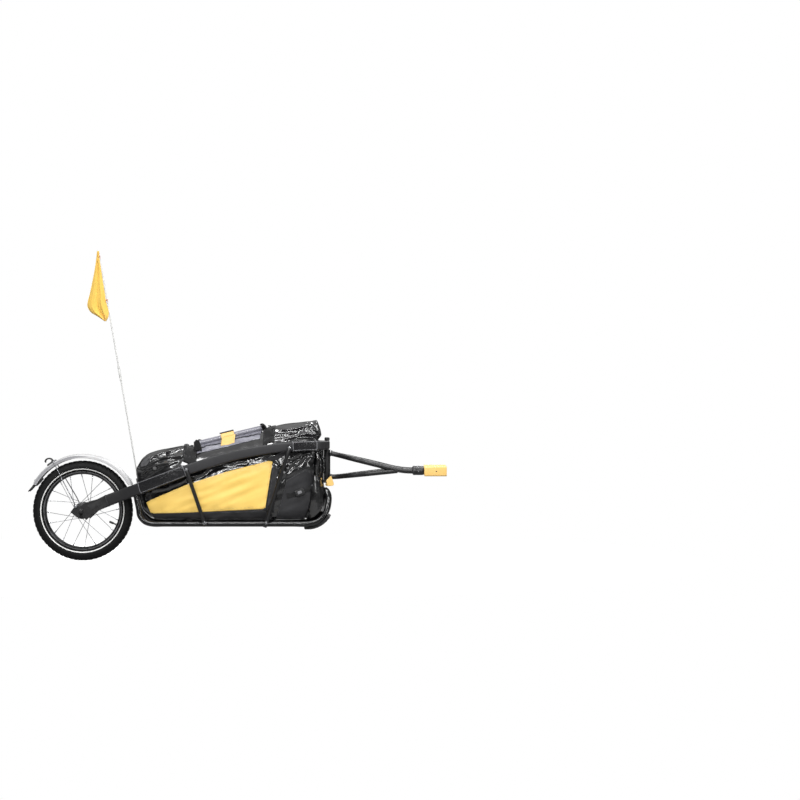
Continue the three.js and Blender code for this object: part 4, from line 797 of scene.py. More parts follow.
def beamRoute():
    plan = beamPlan
    length, rise = plan["frontX"] - plan["rearX"], plan["frontZ"] - plan["rearZ"]

    def rows(table, y0):
        return [at(plan["rearX"] + x * length, y0 + y * (plan["midY"] - y0), plan["rearZ"] + z * rise)
                for x, y, z in table]
    half = rows(plan["route"], plan["rearY"]) + rows(plan["nose"], plan["frontY"])
    half += [at(plan["frontX"] + x * 29, y * plan["frontY"], plan["frontZ"]) for x, y in plan["bow"]]
    other = [Vector((p.x, -p.y, p.z)) for p in reversed(half[:-1])]
    return smoothPath(half + other, 2000)


beamLine = beamRoute()


def beamStation(share):
    k = min(max(share, 0), 1) * (len(beamLine) - 1)
    i = min(int(k), len(beamLine) - 2)
    p = beamLine[i].lerp(beamLine[i + 1], k - i)
    run = (beamLine[min(i + 2, len(beamLine) - 1)] - beamLine[max(i - 1, 0)]).normalized()
    side = up.cross(run).normalized()
    return p, run, side, run.cross(side)


def beamShareAt(x):
    # on the left half, where the beam's middle line reaches a distance along the trailer
    return next(i for i, p in enumerate(beamLine) if p.x * 1000 >= x) / (len(beamLine) - 1)


def beamHalfHeight(p):
    plan = beamPlan
    share = min(max((p.x * 1000 - plan["rearX"]) / (plan["frontX"] - plan["rearX"]), 0), 1)
    return (plan["rearHeight"] + share * (plan["frontHeight"] - plan["rearHeight"])) / 2


def beamRing(share, proud=0.0, cornerSteps=6):
    p, run, side, rise = beamStation(share)
    rows = roundedBox(beamPlan["thickness"] / 2 + proud, beamHalfHeight(p) + proud,
                      beamPlan["corner"] + proud, cornerSteps)
    return [p + (side * dx + rise * dz) * 0.001 for dx, dz in rows]


def beamSleeve(start, stop, steps=60):
    return ringSkin([beamRing(start + (stop - start) * i / steps) for i in range(steps + 1)])


def weldRound(points, width=2.2):
    # a lumpy bead laid round a joint
    path = smoothPath(points, max(24, len(points) * 6), closed=True)
    return tubeAlong(path, lambda s: width * (1 + 0.18 * math.sin(s * len(path) * 1.9)), 8, closed=True)


def ringAround(centre, normal, radius, count=20):
    turn = turnedTo(normal, centre)
    return [turn @ at(radius * math.cos(a), radius * math.sin(a), 0) for a in fullTurn(count)]


def boltHead(place, direction, across=10.0, high=4.0, washer=True):
    # a socket button head on a washer
    r = across / 2
    head = [(0, high - 1.6), (r * 0.42, high - 1.6), (r * 0.44, high), (r * 0.62, high),
            (r * 0.9, high * 0.7), (r, high * 0.3), (r, 0), (0, 0)]
    under = [(0, 0.2), (r * 1.35, 0.2), (r * 1.4, 0), (r * 1.4, -0.6), (0, -0.6)]
    return joined(*[lathed(rows, direction, place) for rows in ((head, under) if washer else (head,))])


def makeBeams():
    joint = beamPlan["jointShare"]
    for name, start, stop in (("left", 0, joint), ("right", 1 - joint, 1)):
        tube = beamSleeve(start, stop, 150)
        makePiece("beam_" + name, tube, beamPaint, "frame", ("side_beam_" + name,), crease=50)
    bow = beamSleeve(joint + 0.0004, 1 - joint - 0.0004, 80)
    makePiece("front_bow", bow, beamPaint, "frame", ("front_crossmember",), crease=50)
    seams = [tubeAlong(beamRing(share, proud, 4), radius, 8, closed=True) for share, proud, radius in (
        (joint, 0.15, 0.9), (1 - joint, 0.15, 0.9), (0.0008, 0.2, 1.5), (0.9992, 0.2, 1.5))]
    makePiece("beam_welds", joined(*seams), weldBead)
    # a painted highlight: the thin bright line along the upper edge of each beam's outer face
    for name, start, stop in (("left", 0.02, joint - 0.01), ("right", 1 - joint + 0.01, 0.98)):
        rings = []
        for i in range(121):
            p, run, side, rise = beamStation(start + (stop - start) * i / 120)
            spot = p + rise * (beamHalfHeight(p) - beamPlan["corner"] - 1.2) * 0.001 - side * 0.011
            rings.append([spot + (side * a + rise * b) * 0.001
                          for a, b in ((-0.18, -0.6), (-0.18, 0.6), (0.2, 0.6), (0.2, -0.6))])
        makePiece("beam_edge_line_" + name, ringSkin(rings), greyMoulding)


headPlan = {"rearX": 325, "halfWidth": 14.0, "lowZ": 266.0, "topZ": 456.0, "pivotX": 359, "lugLow": 311,
            "lugTop": 321}


def makeHead():
    plan = headPlan
    half, pivotX, low, high = plan["halfWidth"], plan["pivotX"], plan["lugLow"], plan["lugTop"]
    post = boxShape((plan["rearX"], -half, plan["lowZ"]), (345, half, plan["topZ"]))
    makePiece("head_column", post, tubePaint, bevel=2.2, bevelSteps=3)
    makePiece("head_knee", boxShape((plan["rearX"], -half, 444), (351, half, plan["topZ"])), tubePaint,
              bevel=2.0)
    outline = [(328, -14), (pivotX, -14)] + arc(pivotX, 0, 14, range(-84, 90, 12))
    outline += [(pivotX, 14), (328, 14)]
    makePiece("head_lower_lug", plateShape(outline, low, high, True), tubePaint, bevel=1.0)
    bush = [(5.5, -1.2), (9.5, -1.2), (9.8, -0.6), (9.8, 0), (5.5, 0)]
    makePiece("head_lower_bush", spun(bush, at(pivotX, 0, low), 36, 'Z'), turnedSteel)
    corners = [at(x, y, 443.6) for x, y in ((327, -13), (327, 13), (344, 13), (344, -13))]
    welds = [tubeAlong(smoothPath(corners, 60, True), 1.8, 8, closed=True)]
    for z in (high, low):
        welds.append(tubeAlong(smoothPath([at(345.4, -12, z), at(345.4, 12, z)], 12), 1.8, 8))
    makePiece("head_welds", joined(*welds), weldBead)
    gusset = [(326, 443), (326, 424), (331, 433), (344, 443.5)]
    gussets = [plateShape(gusset, side * 13.9 - 1.2, side * 13.9 + 1.2) for side in (-1, 1)]
    makePiece("head_gussets", joined(*gussets), tubePaint, bevel=0.5)


railPlan = {
    "radius": 11.0, "z": 151.0, "midY": 105.0, "rearTopY": 77.0, "headY": 26.0, "frontBend": 78.0,
    "rearBend": 55.0, "frontX": 286.0, "rearX": -330.0, "rearTopShare": 0.062,
    "rearTurns": [(176, 0.32), (205, 0.43), (238, 0.61), (270, 0.79)],
    "frontTurns": [(-90, 0.9), (-60, 0.76), (-32, 0.58), (-4, 0.36)]}


def railRoute():
    plan = railPlan
    wide, low = plan["midY"], plan["z"]

    def bend(x, r, narrow, turns):
        spots = arc(x, low + r, r, [a for a, share in turns])
        return [at(u, narrow + share * (wide - narrow), v) for (u, v), (a, share) in zip(spots, turns)]

    def spread(share):
        return plan["headY"] + share * (wide - plan["headY"])
    top = beamStation(plan["rearTopShare"])[0]
    route = [Vector((top.x, plan["rearTopY"] * 0.001, top.z))]
    route += bend(plan["rearX"], plan["rearBend"], plan["rearTopY"], plan["rearTurns"])
    route += [at(x, wide, low) for x in (
        plan["rearX"] + plan["rearBend"], 0, plan["frontX"] - plan["frontBend"] * 0.85)]
    route += bend(plan["frontX"], plan["frontBend"], plan["headY"], plan["frontTurns"])
    route += [at(364, spread(0.2), low + 110), at(352, spread(0.03), 281), at(333, 10, 283)]
    return smoothPath(route, 260)


def makeRails():
    route = railRoute()
    rail = tubeAlong(route, railPlan["radius"], 28)
    for name, turn in bothSides:
        makePiece("rail_" + name, turn(rail), railGloss, "frame", ("base_rail_" + name,), crease=50)
    welds = []
    for x, node in ((-200, "crossbar_rear"), (150, "crossbar_front")):
        bar = tubeAlong([at(x, y, 153.8) for y in range(-96, 97, 8)],
                        lambda s: 8.0 if 0.06 < s < 0.94 else 7.6, 24)
        makePiece(node + "_tube", bar, tubePaint, "frame", (node,))
        for side in (-1, 1):
            welds.append(weldRound([at(x + 8.6 * math.cos(a), side * 94.6, 153.4 + 7.6 * math.sin(a))
                                    for a in fullTurn(16)], 1.6))
    makePiece("crossbar_welds", joined(*welds), weldBead)
    p = route[3]
    ends = [weldRound([Vector((p.x + 0.0118 * math.cos(a), side * (p.y + 0.001), p.z + 0.0118 * math.sin(a)))
                       for a in fullTurn(14)], 1.4) for side in (-1, 1)]
    makePiece("rail_welds", joined(*ends), weldBead)


# the top's x and z, the foot's x, and how far out the beam lies there
strutPlan = {"radius": 7.5, "rear": (-191.5, 373, -120, 0.985), "front": (219, 462, 120, 0.96)}


def makeStruts():
    bolts, feet = [], []
    for name in ("rear", "front"):
        topX, topZ, footX, share = strutPlan[name]
        topY = beamPlan["frontY"] + share * (beamPlan["midY"] - beamPlan["frontY"]) + 11 + 7.5 + 0.3 + 2.4
        footY = railPlan["midY"] + 11 + 7.5 + 1.2

        def spot(down, y):
            return at(topX + down * (footX - topX), y, topZ - down * (topZ - railPlan["z"]))
        path = smoothPath([spot(0, topY), spot(0.17, topY), spot(0.9, footY), spot(1.04, footY)], 90)
        shape = ringSkin(flatEnded(path, strutPlan["radius"]))
        for side, turn in bothSides:
            label = "strut_" + name + "_" + side
            makePiece(label + "_tube", turn(shape), tubePaint, "frame", (label,), crease=50)
        boss = [(0, 0), (7.6, 0), (7.6, 6.6), (6.8, 7.4), (0, 7.4)]
        for side in (-1, 1):
            p, q = spot(0.03, topY), spot(0.985, footY)
            for end in (p, q):
                seat = Vector((end.x, side * (end.y + 0.0034), end.z))
                bolts.append(boltHead(seat, (0, side, 0), 11, 3.4))
            feet.append(lathed(boss, (0, side, 0), Vector((p.x, side * (p.y - 0.0105), p.z))))
    makePiece("strut_bolts", joined(*bolts), turnedSteel, crease=30)
    makePiece("strut_bosses", joined(*feet), tubePaint)


def flatEnded(path, radius, sides=20, flat=0.62, reach=0.09):
    # rings of a tube whose ends are pressed flat across Y
    rings = []
    for i, p in enumerate(path):
        s = i / (len(path) - 1)
        run = runAt(path, i)
        out = (leftward - run * run.y).normalized()
        beside = run.cross(out)
        press = between([(0, 0.0), (1, 1.0)], 1 - min(s, 1 - s) / reach, True)
        thick, wide = radius * (1 - (1 - flat) * press), radius * (1 + 0.12 * press)
        if s < 0.01 or s > 0.99:
            wide *= 0.82
        rings.append([p + (out * math.cos(a) * thick + beside * math.sin(a) * wide) * 0.001
                      for a in fullTurn(sides)])
    return rings


skidPlan = {"middleX": 286, "middleZ": 229, "inner": 89.3, "outer": 101.3, "halfWidth": 84}


def makeBridgeAndSkid():
    spot = aroundHub(226, 24.2)
    reach = next(p.y for p in (beamStation(i / 1000)[0] for i in range(1000)) if p.x >= spot.x)
    path = [Vector((spot.x, (reach - 0.0115) * (i / 10 - 1), spot.z)) for i in range(21)]
    makePiece("wheel_bridge_tube", tubeAlong(path, 8, 24), tubePaint, "frame", ("wheel_bridge",))
    turns = [24.2 + t for t in range(16)]
    tab = arc(hubX, hubZ, 223.2, turns) + arc(hubX, hubZ, 220.4, reversed(turns))
    makePiece("bridge_tab", plateShape(tab, -7, 7), tubePaint, bevel=0.6)
    welds = [weldRound(ringAround(Vector((spot.x, side * (reach - 0.0118), spot.z)), (0, 1, 0), 8.6), 1.6)
             for side in (-1, 1)]
    makePiece("bridge_welds", joined(*welds), weldBead)
    x, z, inner, outer, half = skidPlan.values()
    rows = [(x - 16.8, z - inner)] + arc(x, z, inner, range(-90, -29, 5))
    rows += arc(x, z, outer, range(-31, -91, -5))
    pad = plateShape(rows + [(x - 13.4, z - outer)], -half, half)
    makePiece("skid_pad_block", pad, flapRubber, "frame", ("skid_pad",), bevel=2.4, bevelSteps=3)
    ribs = [tubeAlong([at(u, y, v) for y in (-78, -40, 0, 40, 78)], 1.1, 8)
            for u, v in arc(x, z, outer, range(-84, -34, 8))]
    makePiece("skid_pad_ribs", joined(*ribs), flapRubber)


dropoutPlan = {"tip": 42, "foot": 26, "innerY": 52, "outerY": 64, "earX": 21, "earZ": 19}


def makeDropouts():
    tip, foot, innerY, outerY, earX, earZ = dropoutPlan.values()
    reach = beamPlan["rearX"] - 0.3 - hubX
    tops = [(x * reach, z * 46) for x, z in ((0.55, 0.955), (0.16, 0.74), (0.02, 0.5), (-0.06, 0.44))]
    bases = [(x * reach, z * 52) for x, z in ((0.2, -0.69), (0.55, -0.055))]
    slot = [(x, z * 5.6 / 5.3) for x, z in arc(0, 0, 5.3, range(180, -1, -15))]
    mouth = [(-tip, -3.9), (-tip * 0.6, -18.2), (-12.3, -foot), (-5.3, -foot)]
    mouth += slot + [(5.3, -foot), (12.3, -foot)]
    ear = [(x * 6.5 - earX, z * 6.5 + earZ) for x, z in (
        (1.2, 0.6), (0.5, 1), (0, 1.06), (-0.5, 1), (-1, 0.3), (-1.04, -0.2), (-1, -0.6))]
    p, run, side, rise = beamStation(0)
    outline = [((p.x - run.x * 0.0003) * 1000 - s * run.z * 23,
                (p.z - run.z * 0.0003) * 1000 + s * run.x * 23)
               for s in (-1, 1)]
    outline += [(hubX + x, hubZ + z) for x, z in tops + ear + mouth + bases]
    recess = [(hubX + x, hubZ + z) for x, z in ((24, 22), (74, 44), (84, 30), (44, 6))]
    for side in (-1, 1):
        name, face = sideName(side), side * (outerY + 0.05)
        plate = plateShape(outline, *sorted((side * innerY, side * outerY)))
        makePiece("dropout_plate_" + name, plate, tubePaint, "frame", ("dropout_" + name,), bevel=1.3,
                  bevelSteps=3)
        rib = plateShape(recess, *sorted((face, face + side * 0.9)))
        makePiece("dropout_rib_" + name, rib, tubePaint, bevel=0.8)
        bolt = boltHead(at(hubX - earX, side * 68.6, hubZ + earZ), (0, side, 0), 9, 3.6)
        makePiece("stay_bolt_" + name, bolt, turnedSteel, crease=30)


fenderPlan = {"radius": 226.0, "wall": 2.0, "frontAngle": 28.5, "rearAngle": 151.0, "steps": 90}


def fenderOutline():
    # across the fender: a low crown, shoulders, skirts and a rolled lip; rows are (y, depth below the crown)
    shoulder = [(30, -16), (29.9, -10), (29.6, -6.0), (27.6, -3.4), (24.6, -2.2), (17, -0.7), (10.2, 0)]
    rows = [(p.x * 1000, p.y * 1000) for p in smoothPath([at(y, d, 0) for y, d in shoulder], 22)]
    rows += [(4.0, 0.0), (3.4, 0.45)]
    return rows + [(-y, d) for y, d in reversed(rows)]


def makeFender():
    radius, wall, front, rear, steps = fenderPlan.values()
    outside = fenderOutline()
    inside = []
    for k, (y, d) in enumerate(outside):
        (ya, da), (yb, db) = outside[max(k - 1, 0)], outside[min(k + 1, len(outside) - 1)]
        run = Vector((yb - ya, db - da)).normalized()
        inside.append((y - run.y * wall, d + run.x * wall))
    rings = [[aroundHub(radius + d, front + (rear - front) * i / steps, y)
              for y, d in outside + inside[::-1]]
             for i in range(steps + 1)]
    makePiece("fender_shell", thinSkin(rings), silverMoulding, "frame", ("fender",), crease=46)
    # the rolled lips and the band along each side are painted darker as shade
    lips = [tubeAlong([aroundHub(radius - 15.4, front + 0.3 + (rear - front - 0.6) * i / 80, side * 29.3)
                       for i in range(81)], 0.95, 8) for side in (-1, 1)]
    makePiece("fender_rolled_lips", joined(*lips), silverPaintedShade)
    edge = ((29.95, 4.5), (30.25, 4.2), (30.35, -4.2), (30.0, -4.5))
    for side in (-1, 1):
        rings = [[aroundHub(radius - 9.4 + d * min(1.0, (i + 1) / 16), 84 + (rear - 84.6) * i / 60, side * y)
                  for y, d in edge] for i in range(61)]
        makePiece("fender_rear_band_" + sideName(side), ringSkin(rings), silverPaintedShade)
    bolt = boltHead(aroundHub(226.4, 33.5), aroundHub(400, 33.5) - aroundHub(226, 33.5), 9, 3)
    makePiece("fender_bolt", bolt, turnedSteel, crease=30)


# stations are a share of the length, how far it flares out and how wide it is
mudflapPlan = {
    "start": 222.7, "length": 38.0, "width": 52.0, "thickness": 3.0,
    "stations": [(-0.5, 0, 1), (0, 0, 1), (0.35, 0.035, 1.03), (0.7, 0.09, 1.02), (1, 0.16, 0.84)]}


def makeMudflap():
    plan, angle = mudflapPlan, math.radians(fenderPlan["rearAngle"])
    tangent = Vector((-math.sin(angle), 0, math.cos(angle)))
    outward = Vector((math.cos(angle), 0, math.sin(angle)))
    foot = aroundHub(plan["start"], fenderPlan["rearAngle"])
    shares = [-0.5 + k / 30 for k in range(31)]
    rings = []
    for i in range(31):
        run = -0.5 + 1.5 * i / 30
        flare, wide = (between([(row[0], row[k]) for row in plan["stations"]], run, True) for k in (1, 2))
        lift = -((run * plan["length"]) ** 2) / 452 if run < 0 else flare * plan["length"]
        middle = foot + tangent * run * plan["length"] * 0.001 + outward * lift * 0.001

        def spot(share, depth):
            ribbed = depth == 0 and run > 0.1 and abs((share * 5) % 1 - 0.5) < 0.16 and abs(share) < 0.45
            drop = -depth - 22 * share * share * (1 - max(run, 0) * 0.5) + (0.7 if ribbed else 0)
            return middle + at(0, share * plan["width"] * wide, 0) + outward * drop * 0.001
        rings.append([spot(s, 0) for s in shares] + [spot(s, plan["thickness"]) for s in reversed(shares)])
    makePiece("mudflap_sheet", thinSkin(rings), flapRubber, "frame", ("mudflap",), crease=35)
    rivets = [boltHead(aroundHub(226.2, 147.5, y), outward, 6, 1.6, False) for y in (-12, 12)]
    makePiece("mudflap_rivets", joined(*rivets), turnedSteel)


def makeFlapClip():
    # the moulded clip that holds the flap stands inside the fender's tail
    corners = ((203.5, 142), (205, 147.5), (210, 152.5), (219, 153), (216, 146), (209, 141.6))
    outline = roundedProfile([arc(hubX, hubZ, r, [a])[0] for r, a in corners], 1.6, 3)
    makePiece("mudflap_clip", plateShape(outline, -27.5, 27.5), flapRubber, bevel=1.2)


stayPlan = {"halfWidth": 32.6, "over": 228.3, "angle": 120.4, "eyeX": -638, "eyeY": 66.3, "eyeZ": 218.5}


def makeStayAndHook():
    wide, over, angle, eyeX, eyeY, eyeZ = stayPlan.values()
    half = [at(eyeX, eyeY, eyeZ), at(eyeX - 10.5, eyeY, eyeZ + 25.2),
            aroundHub(145.4, 121.4, (wide + eyeY) / 2)]
    half += [aroundHub(over + r, angle, y) for r, y in (
        (-16, wide + 2), (-6.4, wide), (-1.28, wide * 0.86), (0.6, wide * 0.5))]
    route = half + [Vector((p.x, -p.y, p.z)) for p in reversed(half)]
    wire = tubeAlong(smoothPath(route, 170), 2, 12)
    makePiece("stay_wire", wire, spokeSteel, "frame", ("fender_stay",))
    loops = [tubeAlong(ringAround(at(eyeX, s * eyeY, eyeZ), (0, 1, 0), 4.4, 24), 1.8, 10, closed=True)
             for s in (-1, 1)]
    makePiece("stay_eyes", joined(*loops), spokeSteel)
    away = aroundHub(400, angle) - hub
    turn = turnedTo(away, aroundHub(226.4, angle))
    cap = roundedProfile([(-10, -9), (10, -9), (10, 9), (-10, 9)], 3, 4)
    levels = ((1.0, 0.0), (1.0, 3.4), (0.94, 4.6), (0.84, 5.2))
    clip = stacked(cap, levels, lambda x, y, h: turn @ at(y, x, h))
    makePiece("stay_clip", clip, greyMoulding, crease=40)
    makePiece("stay_clip_screw", boltHead(turn @ at(0, 0, 5.1), away, 6, 1.8, False), turnedSteel)
    hook = ((7.2, 0), (4.6, 0), (1.4, 0.05), (0.1, 0.34), (1.6, 0.82), (4.2, 1.0), (6.2, 0.84), (6.6, 0.6))
    path = smoothPath([aroundHub(229.6 + lift * 21.5, 121.2 + more) for more, lift in hook], 60)
    rings = []
    for i, p in enumerate(path):
        out = runAt(path, i).cross(leftward).normalized()
        taper = 1.0 if 2 < i < 58 else 0.8
        rings.append(tapeRing(p, leftward * 8 * taper, out * 3.0 * taper))
    makePiece("light_hook", ringSkin(rings), blackMoulding, "frame", ("light_bracket",), crease=40)


makeBeams()
makeHead()
makeRails()
makeStruts()
makeBridgeAndSkid()
makeDropouts()
makeFender()
makeMudflap()
makeFlapClip()
makeStayAndHook()

print("flag")

flagPlan = {
    "footX": -396.0, "footZ": 252.0, "lean": 9.85, "length": 1008.0, "rodRadius": 2.6, "wall": 0.0009,
    "setOut": 16.3, "hoistWidth": 98.0, "drop": 283.0, "cut": (0.118, 0.283), "foldDepth": 13.0,
    # the drop, and the left and right edge across the hang
    "outline": [(0, -0.04, 0.03), (0.1, -0.07, 0.04), (0.25, -0.13, 0.1), (0.45, -0.24, 0.19),
                (0.64, -0.36, 0.28), (0.7, -0.41, 0.3), (0.78, -0.44, 0.36), (0.86, -0.33, 0.42),
                (0.93, -0.03, 0.42), (1, 0.27, 0.33)],
    "folds": [0, 0.55, 1, 0.5, -0.1, 0.45, 1, 0.55, 0.1]}
poleLeft = beamStation(beamShareAt(flagPlan["footX"]))[0].y * 1000 + flagPlan["setOut"]


def onPole(reach):
    a = math.radians(flagPlan["lean"])
    return at(flagPlan["footX"] - reach * math.sin(a), poleLeft, flagPlan["footZ"] + reach * math.cos(a))


def makePole():
    way, rod, top = onPole(1000) - onPole(0), flagPlan["rodRadius"], flagPlan["length"]
    socket = [(2.9, 15.5), (2.9, 74), (6.6, 74), (7.8, 73), (8, 71.5), (8, 62), (7.5, 61.2), (7.5, 59.8),
              (8, 59), (8, 3), (7, 0.6), (5.5, 0), (0, 0), (0, 15.5)]
    lower = [(0, 18), (2.4, 18), (rod, 18.8), (rod, 473.6), (3.6, 473.9), (4.3, 474.6), (4.4, 476),
             (4.4, 486), (4.1, 486.6), (4.1, 488.4), (4.4, 489), (4.4, 519), (4.1, 519.6), (4.1, 521.4),
             (4.4, 522), (4.4, 533), (4.2, 534), (2.9, 534), (2.9, 503.8), (0, 503.8)]
    upper = [(0, 504.2), (rod, 504.2), (rod, top - 3), (2.3, top - 1.2), (1.4, top - 0.2), (0, top)]
    tube = lathed(socket, way, onPole(0), 40, True)
    makePiece("flag_socket_tube", tube, blackMoulding, "frame", ("flag_socket",), crease=40)
    x, y, z = onPole(74 * 0.45) * 1000
    clamp = boxShape((x - 7.2, y - 14.5, z - 7.2), (x + 7.2, y - 2, z + 7.2))
    makePiece("flag_socket_clamp", clamp, blackMoulding, bevel=1.8, bevelSteps=3)
    band = [(7.9, -3), (9, -2.6), (9, 2.6), (7.9, 3)]
    bands = [lathed(band, way, onPole(h), 36, True) for h in (24, 46)]
    makePiece("flag_socket_bands", joined(*bands), turnedSteel)
    for name, rows, crease in (("lower", lower, 35), ("upper", upper, 50)):
        half = lathed(rows, way, onPole(0))
        makePiece("pole_" + name + "_half", half, whiteRod, "flag", ("flag_pole_" + name,), crease=crease)


def makePennant():
    # limp cloth with rounded folds
    plan, folds, top = flagPlan, flagPlan["folds"], onPole(flagPlan["length"])
    front = poleLeft - plan["rodRadius"] - 0.3 - 1.4
    downSteps, acrossSteps = 90, 48
    edges = [smoothPath([at(row[0] * 1000, row[k] * 1000, 0) for row in plan["outline"]], 400)
             for k in (1, 2)]
    lefts, rights = ([(p.x, p.y) for p in edge] for edge in edges)
    near = []
    for i in range(downSteps + 1):
        drop = i / downSteps
        left, right = between(lefts, drop), between(rights, drop)
        row = []
        for j in range(acrossSteps + 1):
            share = j / acrossSteps
            fold = between(list(enumerate(folds)), share * (len(folds) - 1), True)
            ripple = 0.1 * math.sin(share * 19 + drop * 7) * drop
            x = top.x * 1000 + (left + (right - left) * share) * plan["hoistWidth"]
            y = front - (fold + ripple) * plan["foldDepth"] * (0.25 + 0.75 * drop)
            row.append(at(x, y, top.z * 1000 - 2 - drop * plan["drop"]))
        near.append(row)
    net = [p for row in near for p in row], quads(downSteps + 1, acrossSteps + 1, False, False)
    cloth = makePiece("pennant_cloth", net, flagCloth, "flag", ("pennant",), crease=180)
    skin = cloth.modifiers.new("cloth thickness", 'SOLIDIFY')
    skin.thickness = plan["wall"]
    skin.offset = 0
    edges = [[row[0] for row in near], [row[-1] for row in near], near[-1]]
    hem = makePiece("pennant_hems", joined(*[tubeAlong(line, 1.0, 8) for line in edges]), flagCloth, "flag")
    ties = []
    for reach in (985, 806):
        spot = onPole(reach)
        ties.append(tubeAlong(ringAround(spot, onPole(1000) - onPole(0), 3.9, 20), 1.25, 8, closed=True))
        for middle, end in (((3, -6.5, -3), (5, -6, -10)), ((-3, -6.5, -3), (-3, -6.4, -11))):
            line = [spot + at(0, -3.9, 0), spot + at(*middle), spot + at(*end)]
            ties.append(tubeAlong(smoothPath(line, 12), 0.9, 8))
    tied = makePiece("pennant_ties", joined(*ties), redTie, "flag")


makePole()
makePennant()

print("bag")

bagPlan = {
    "rearX": -400.0, "frontX": 338.0, "baseZ": 162.3, "topZ": 563.0, "halfWidth": 122.0, "stations": 110,
    "around": 72, "inset": 3.0, "easing": 5, "voxel": 0.009, "frames": 14, "growth": -0.028, "mostMove": 7.0,
    "cloth": {"quality": 4, "mass": 0.25, "tension_stiffness": 12, "compression_stiffness": 12,
              "shear_stiffness": 6, "bending_stiffness": 0.35, "use_pressure": True,
              "uniform_pressure_force": 1.6},
    "top": [(0, 0.53), (0.03, 0.62), (0.06, 0.665), (0.12, 0.695), (0.25, 0.735), (0.325, 0.718),
            (0.676, 0.876), (0.735, 0.928), (0.83, 0.96), (0.94, 0.99), (0.975, 0.998), (1, 0.86)],
    "base": [(0, 0.36), (0.012, 0.21), (0.035, 0.1), (0.08, 0.02), (0.13, 0), (0.9, 0), (0.935, 0.035),
             (0.962, 0.11), (0.977, 0.2), (0.979, 0.805), (1, 0.82)],
    "width": [(0, 0.44), (0.03, 0.52), (0.09, 0.7), (0.18, 0.9), (0.28, 1), (0.75, 1), (0.83, 0.96),
              (0.89, 0.85), (0.92, 0.78), (0.977, 0.61), (1, 0.5)],
    "section": [(0, 0), (0.5, 0), (0.8, 0.005), (0.9, 0.03), (0.945, 0.1), (0.965, 0.25), (0.985, 0.45),
                (0.98, 0.62), (0.9, 0.78), (0.72, 0.9), (0.42, 0.975), (0, 1)]}
bagLong, bagTall = bagPlan["frontX"] - bagPlan["rearX"], bagPlan["topZ"] - bagPlan["baseZ"]
beamClimb = [(x, z) for x, y, z in beamPlan["route"]] + [(1, 1)]

# folds pressed into the sides, as their height and (x, z) rows in millimetres
foldLines = [
    (4.5, [(-386, 374), (-359, 397), (-326, 418), (-282, 433), (-237, 445), (-202, 454)]),
    (4.0, [(-377, 371), (-338, 389), (-291, 412), (-249, 415), (-213, 418)]),
    (4.0, [(-371, 347), (-347, 368), (-297, 386), (-261, 392), (-231, 400)]),
    (3.0, [(-362, 332), (-326, 356), (-285, 377), (-237, 394)]),
    (3.5, [(-267, 296), (-225, 311), (-196, 326)]),
    (3.5, [(-178, 335), (-133, 347), (-95, 377), (-59, 386), (-13, 389), (19, 400), (40, 398)]),
    (3.0, [(-330, 283), (-290, 288), (-262, 292)]), (3.0, [(78, 409), (108, 418), (138, 424), (156, 430)]),
    (4.5, [(150, 525), (197, 522), (227, 525), (272, 537), (295, 543)]),
    (4.0, [(283, 528), (301, 525), (325, 514)]),
    (4.5, [(185, 484), (227, 493), (272, 505), (310, 505), (332, 497)]),
    (3.5, [(295, 546), (313, 534), (331, 505)]), (4.0, [(221, 409), (257, 427), (280, 418)]),
    (4.5, [(242, 386), (269, 412), (280, 427), (304, 430)]), (4.0, [(206, 368), (227, 392), (254, 409)]),
    (3.5, [(178, 332), (192, 350), (206, 365)]), (3.0, [(160, 402), (172, 385), (176, 366)]),
    (3.0, [(155, 380), (168, 368), (172, 350)]), (3.0, [(-120, 452), (-60, 462), (0, 480), (60, 497)]),
    (3.0, [(150, 500), (190, 504), (240, 516)])]


def bagRing(share, inset):
    plan = bagPlan
    x = plan["rearX"] + inset + share * (bagLong - 2 * inset)
    low = plan["baseZ"] + between(plan["base"], share) * bagTall + inset
    high = plan["baseZ"] + between(plan["top"], share) * bagTall - inset
    half = between(plan["width"], share) * plan["halfWidth"] - inset
    rows = [at(x, w * half, low + h * (high - low)) for w, h in plan["section"]]
    rows += [Vector((p.x, -p.y, p.z)) for p in rows[-2:0:-1]]
    return smoothPath(rows, plan["around"], closed=True)


def ridgeHeights(spots):
    # how far each (x, z) spot rises, from the folds near it
    spots = np.asarray(spots)
    rise = np.zeros(len(spots))
    for height, rows in foldLines:
        line = smoothPath([Vector((x, 0, z)) for x, z in rows], 6 * len(rows))
        near = np.full(len(spots), 1e9)
        signed = np.zeros(len(spots))
        for a, b in zip(line, line[1:]):
            ax, az, dx, dz = a.x, a.z, b.x - a.x, b.z - a.z
            t = np.clip(((spots[:, 0] - ax) * dx + (spots[:, 1] - az) * dz) / (dx * dx + dz * dz), 0, 1)
            offX, offZ = spots[:, 0] - ax - t * dx, spots[:, 1] - az - t * dz
            gap = np.hypot(offX, offZ)
            closer = gap < near
            near[closer] = gap[closer]
            signed[closer] = np.sign(offX[closer] * dz - offZ[closer] * dx) * gap[closer]
        below, above = np.exp(-((signed - 9.0) / 5.5) ** 2), np.exp(-((signed + 11) / 7) ** 2)
        rise += height * (np.exp(-(near / 5.0) ** 2) - 0.75 * below - 0.3 * above)
    return rise


def beamNear(x, z):
    # 1 right behind a beam, fading to 0 away from it
    rise = between(beamClimb, min(max((x + 514) / 844, 0), 1), True)
    return max(0.0, min(1.0, (44 - abs(z - (240.5 + rise * 220.5))) / 16))


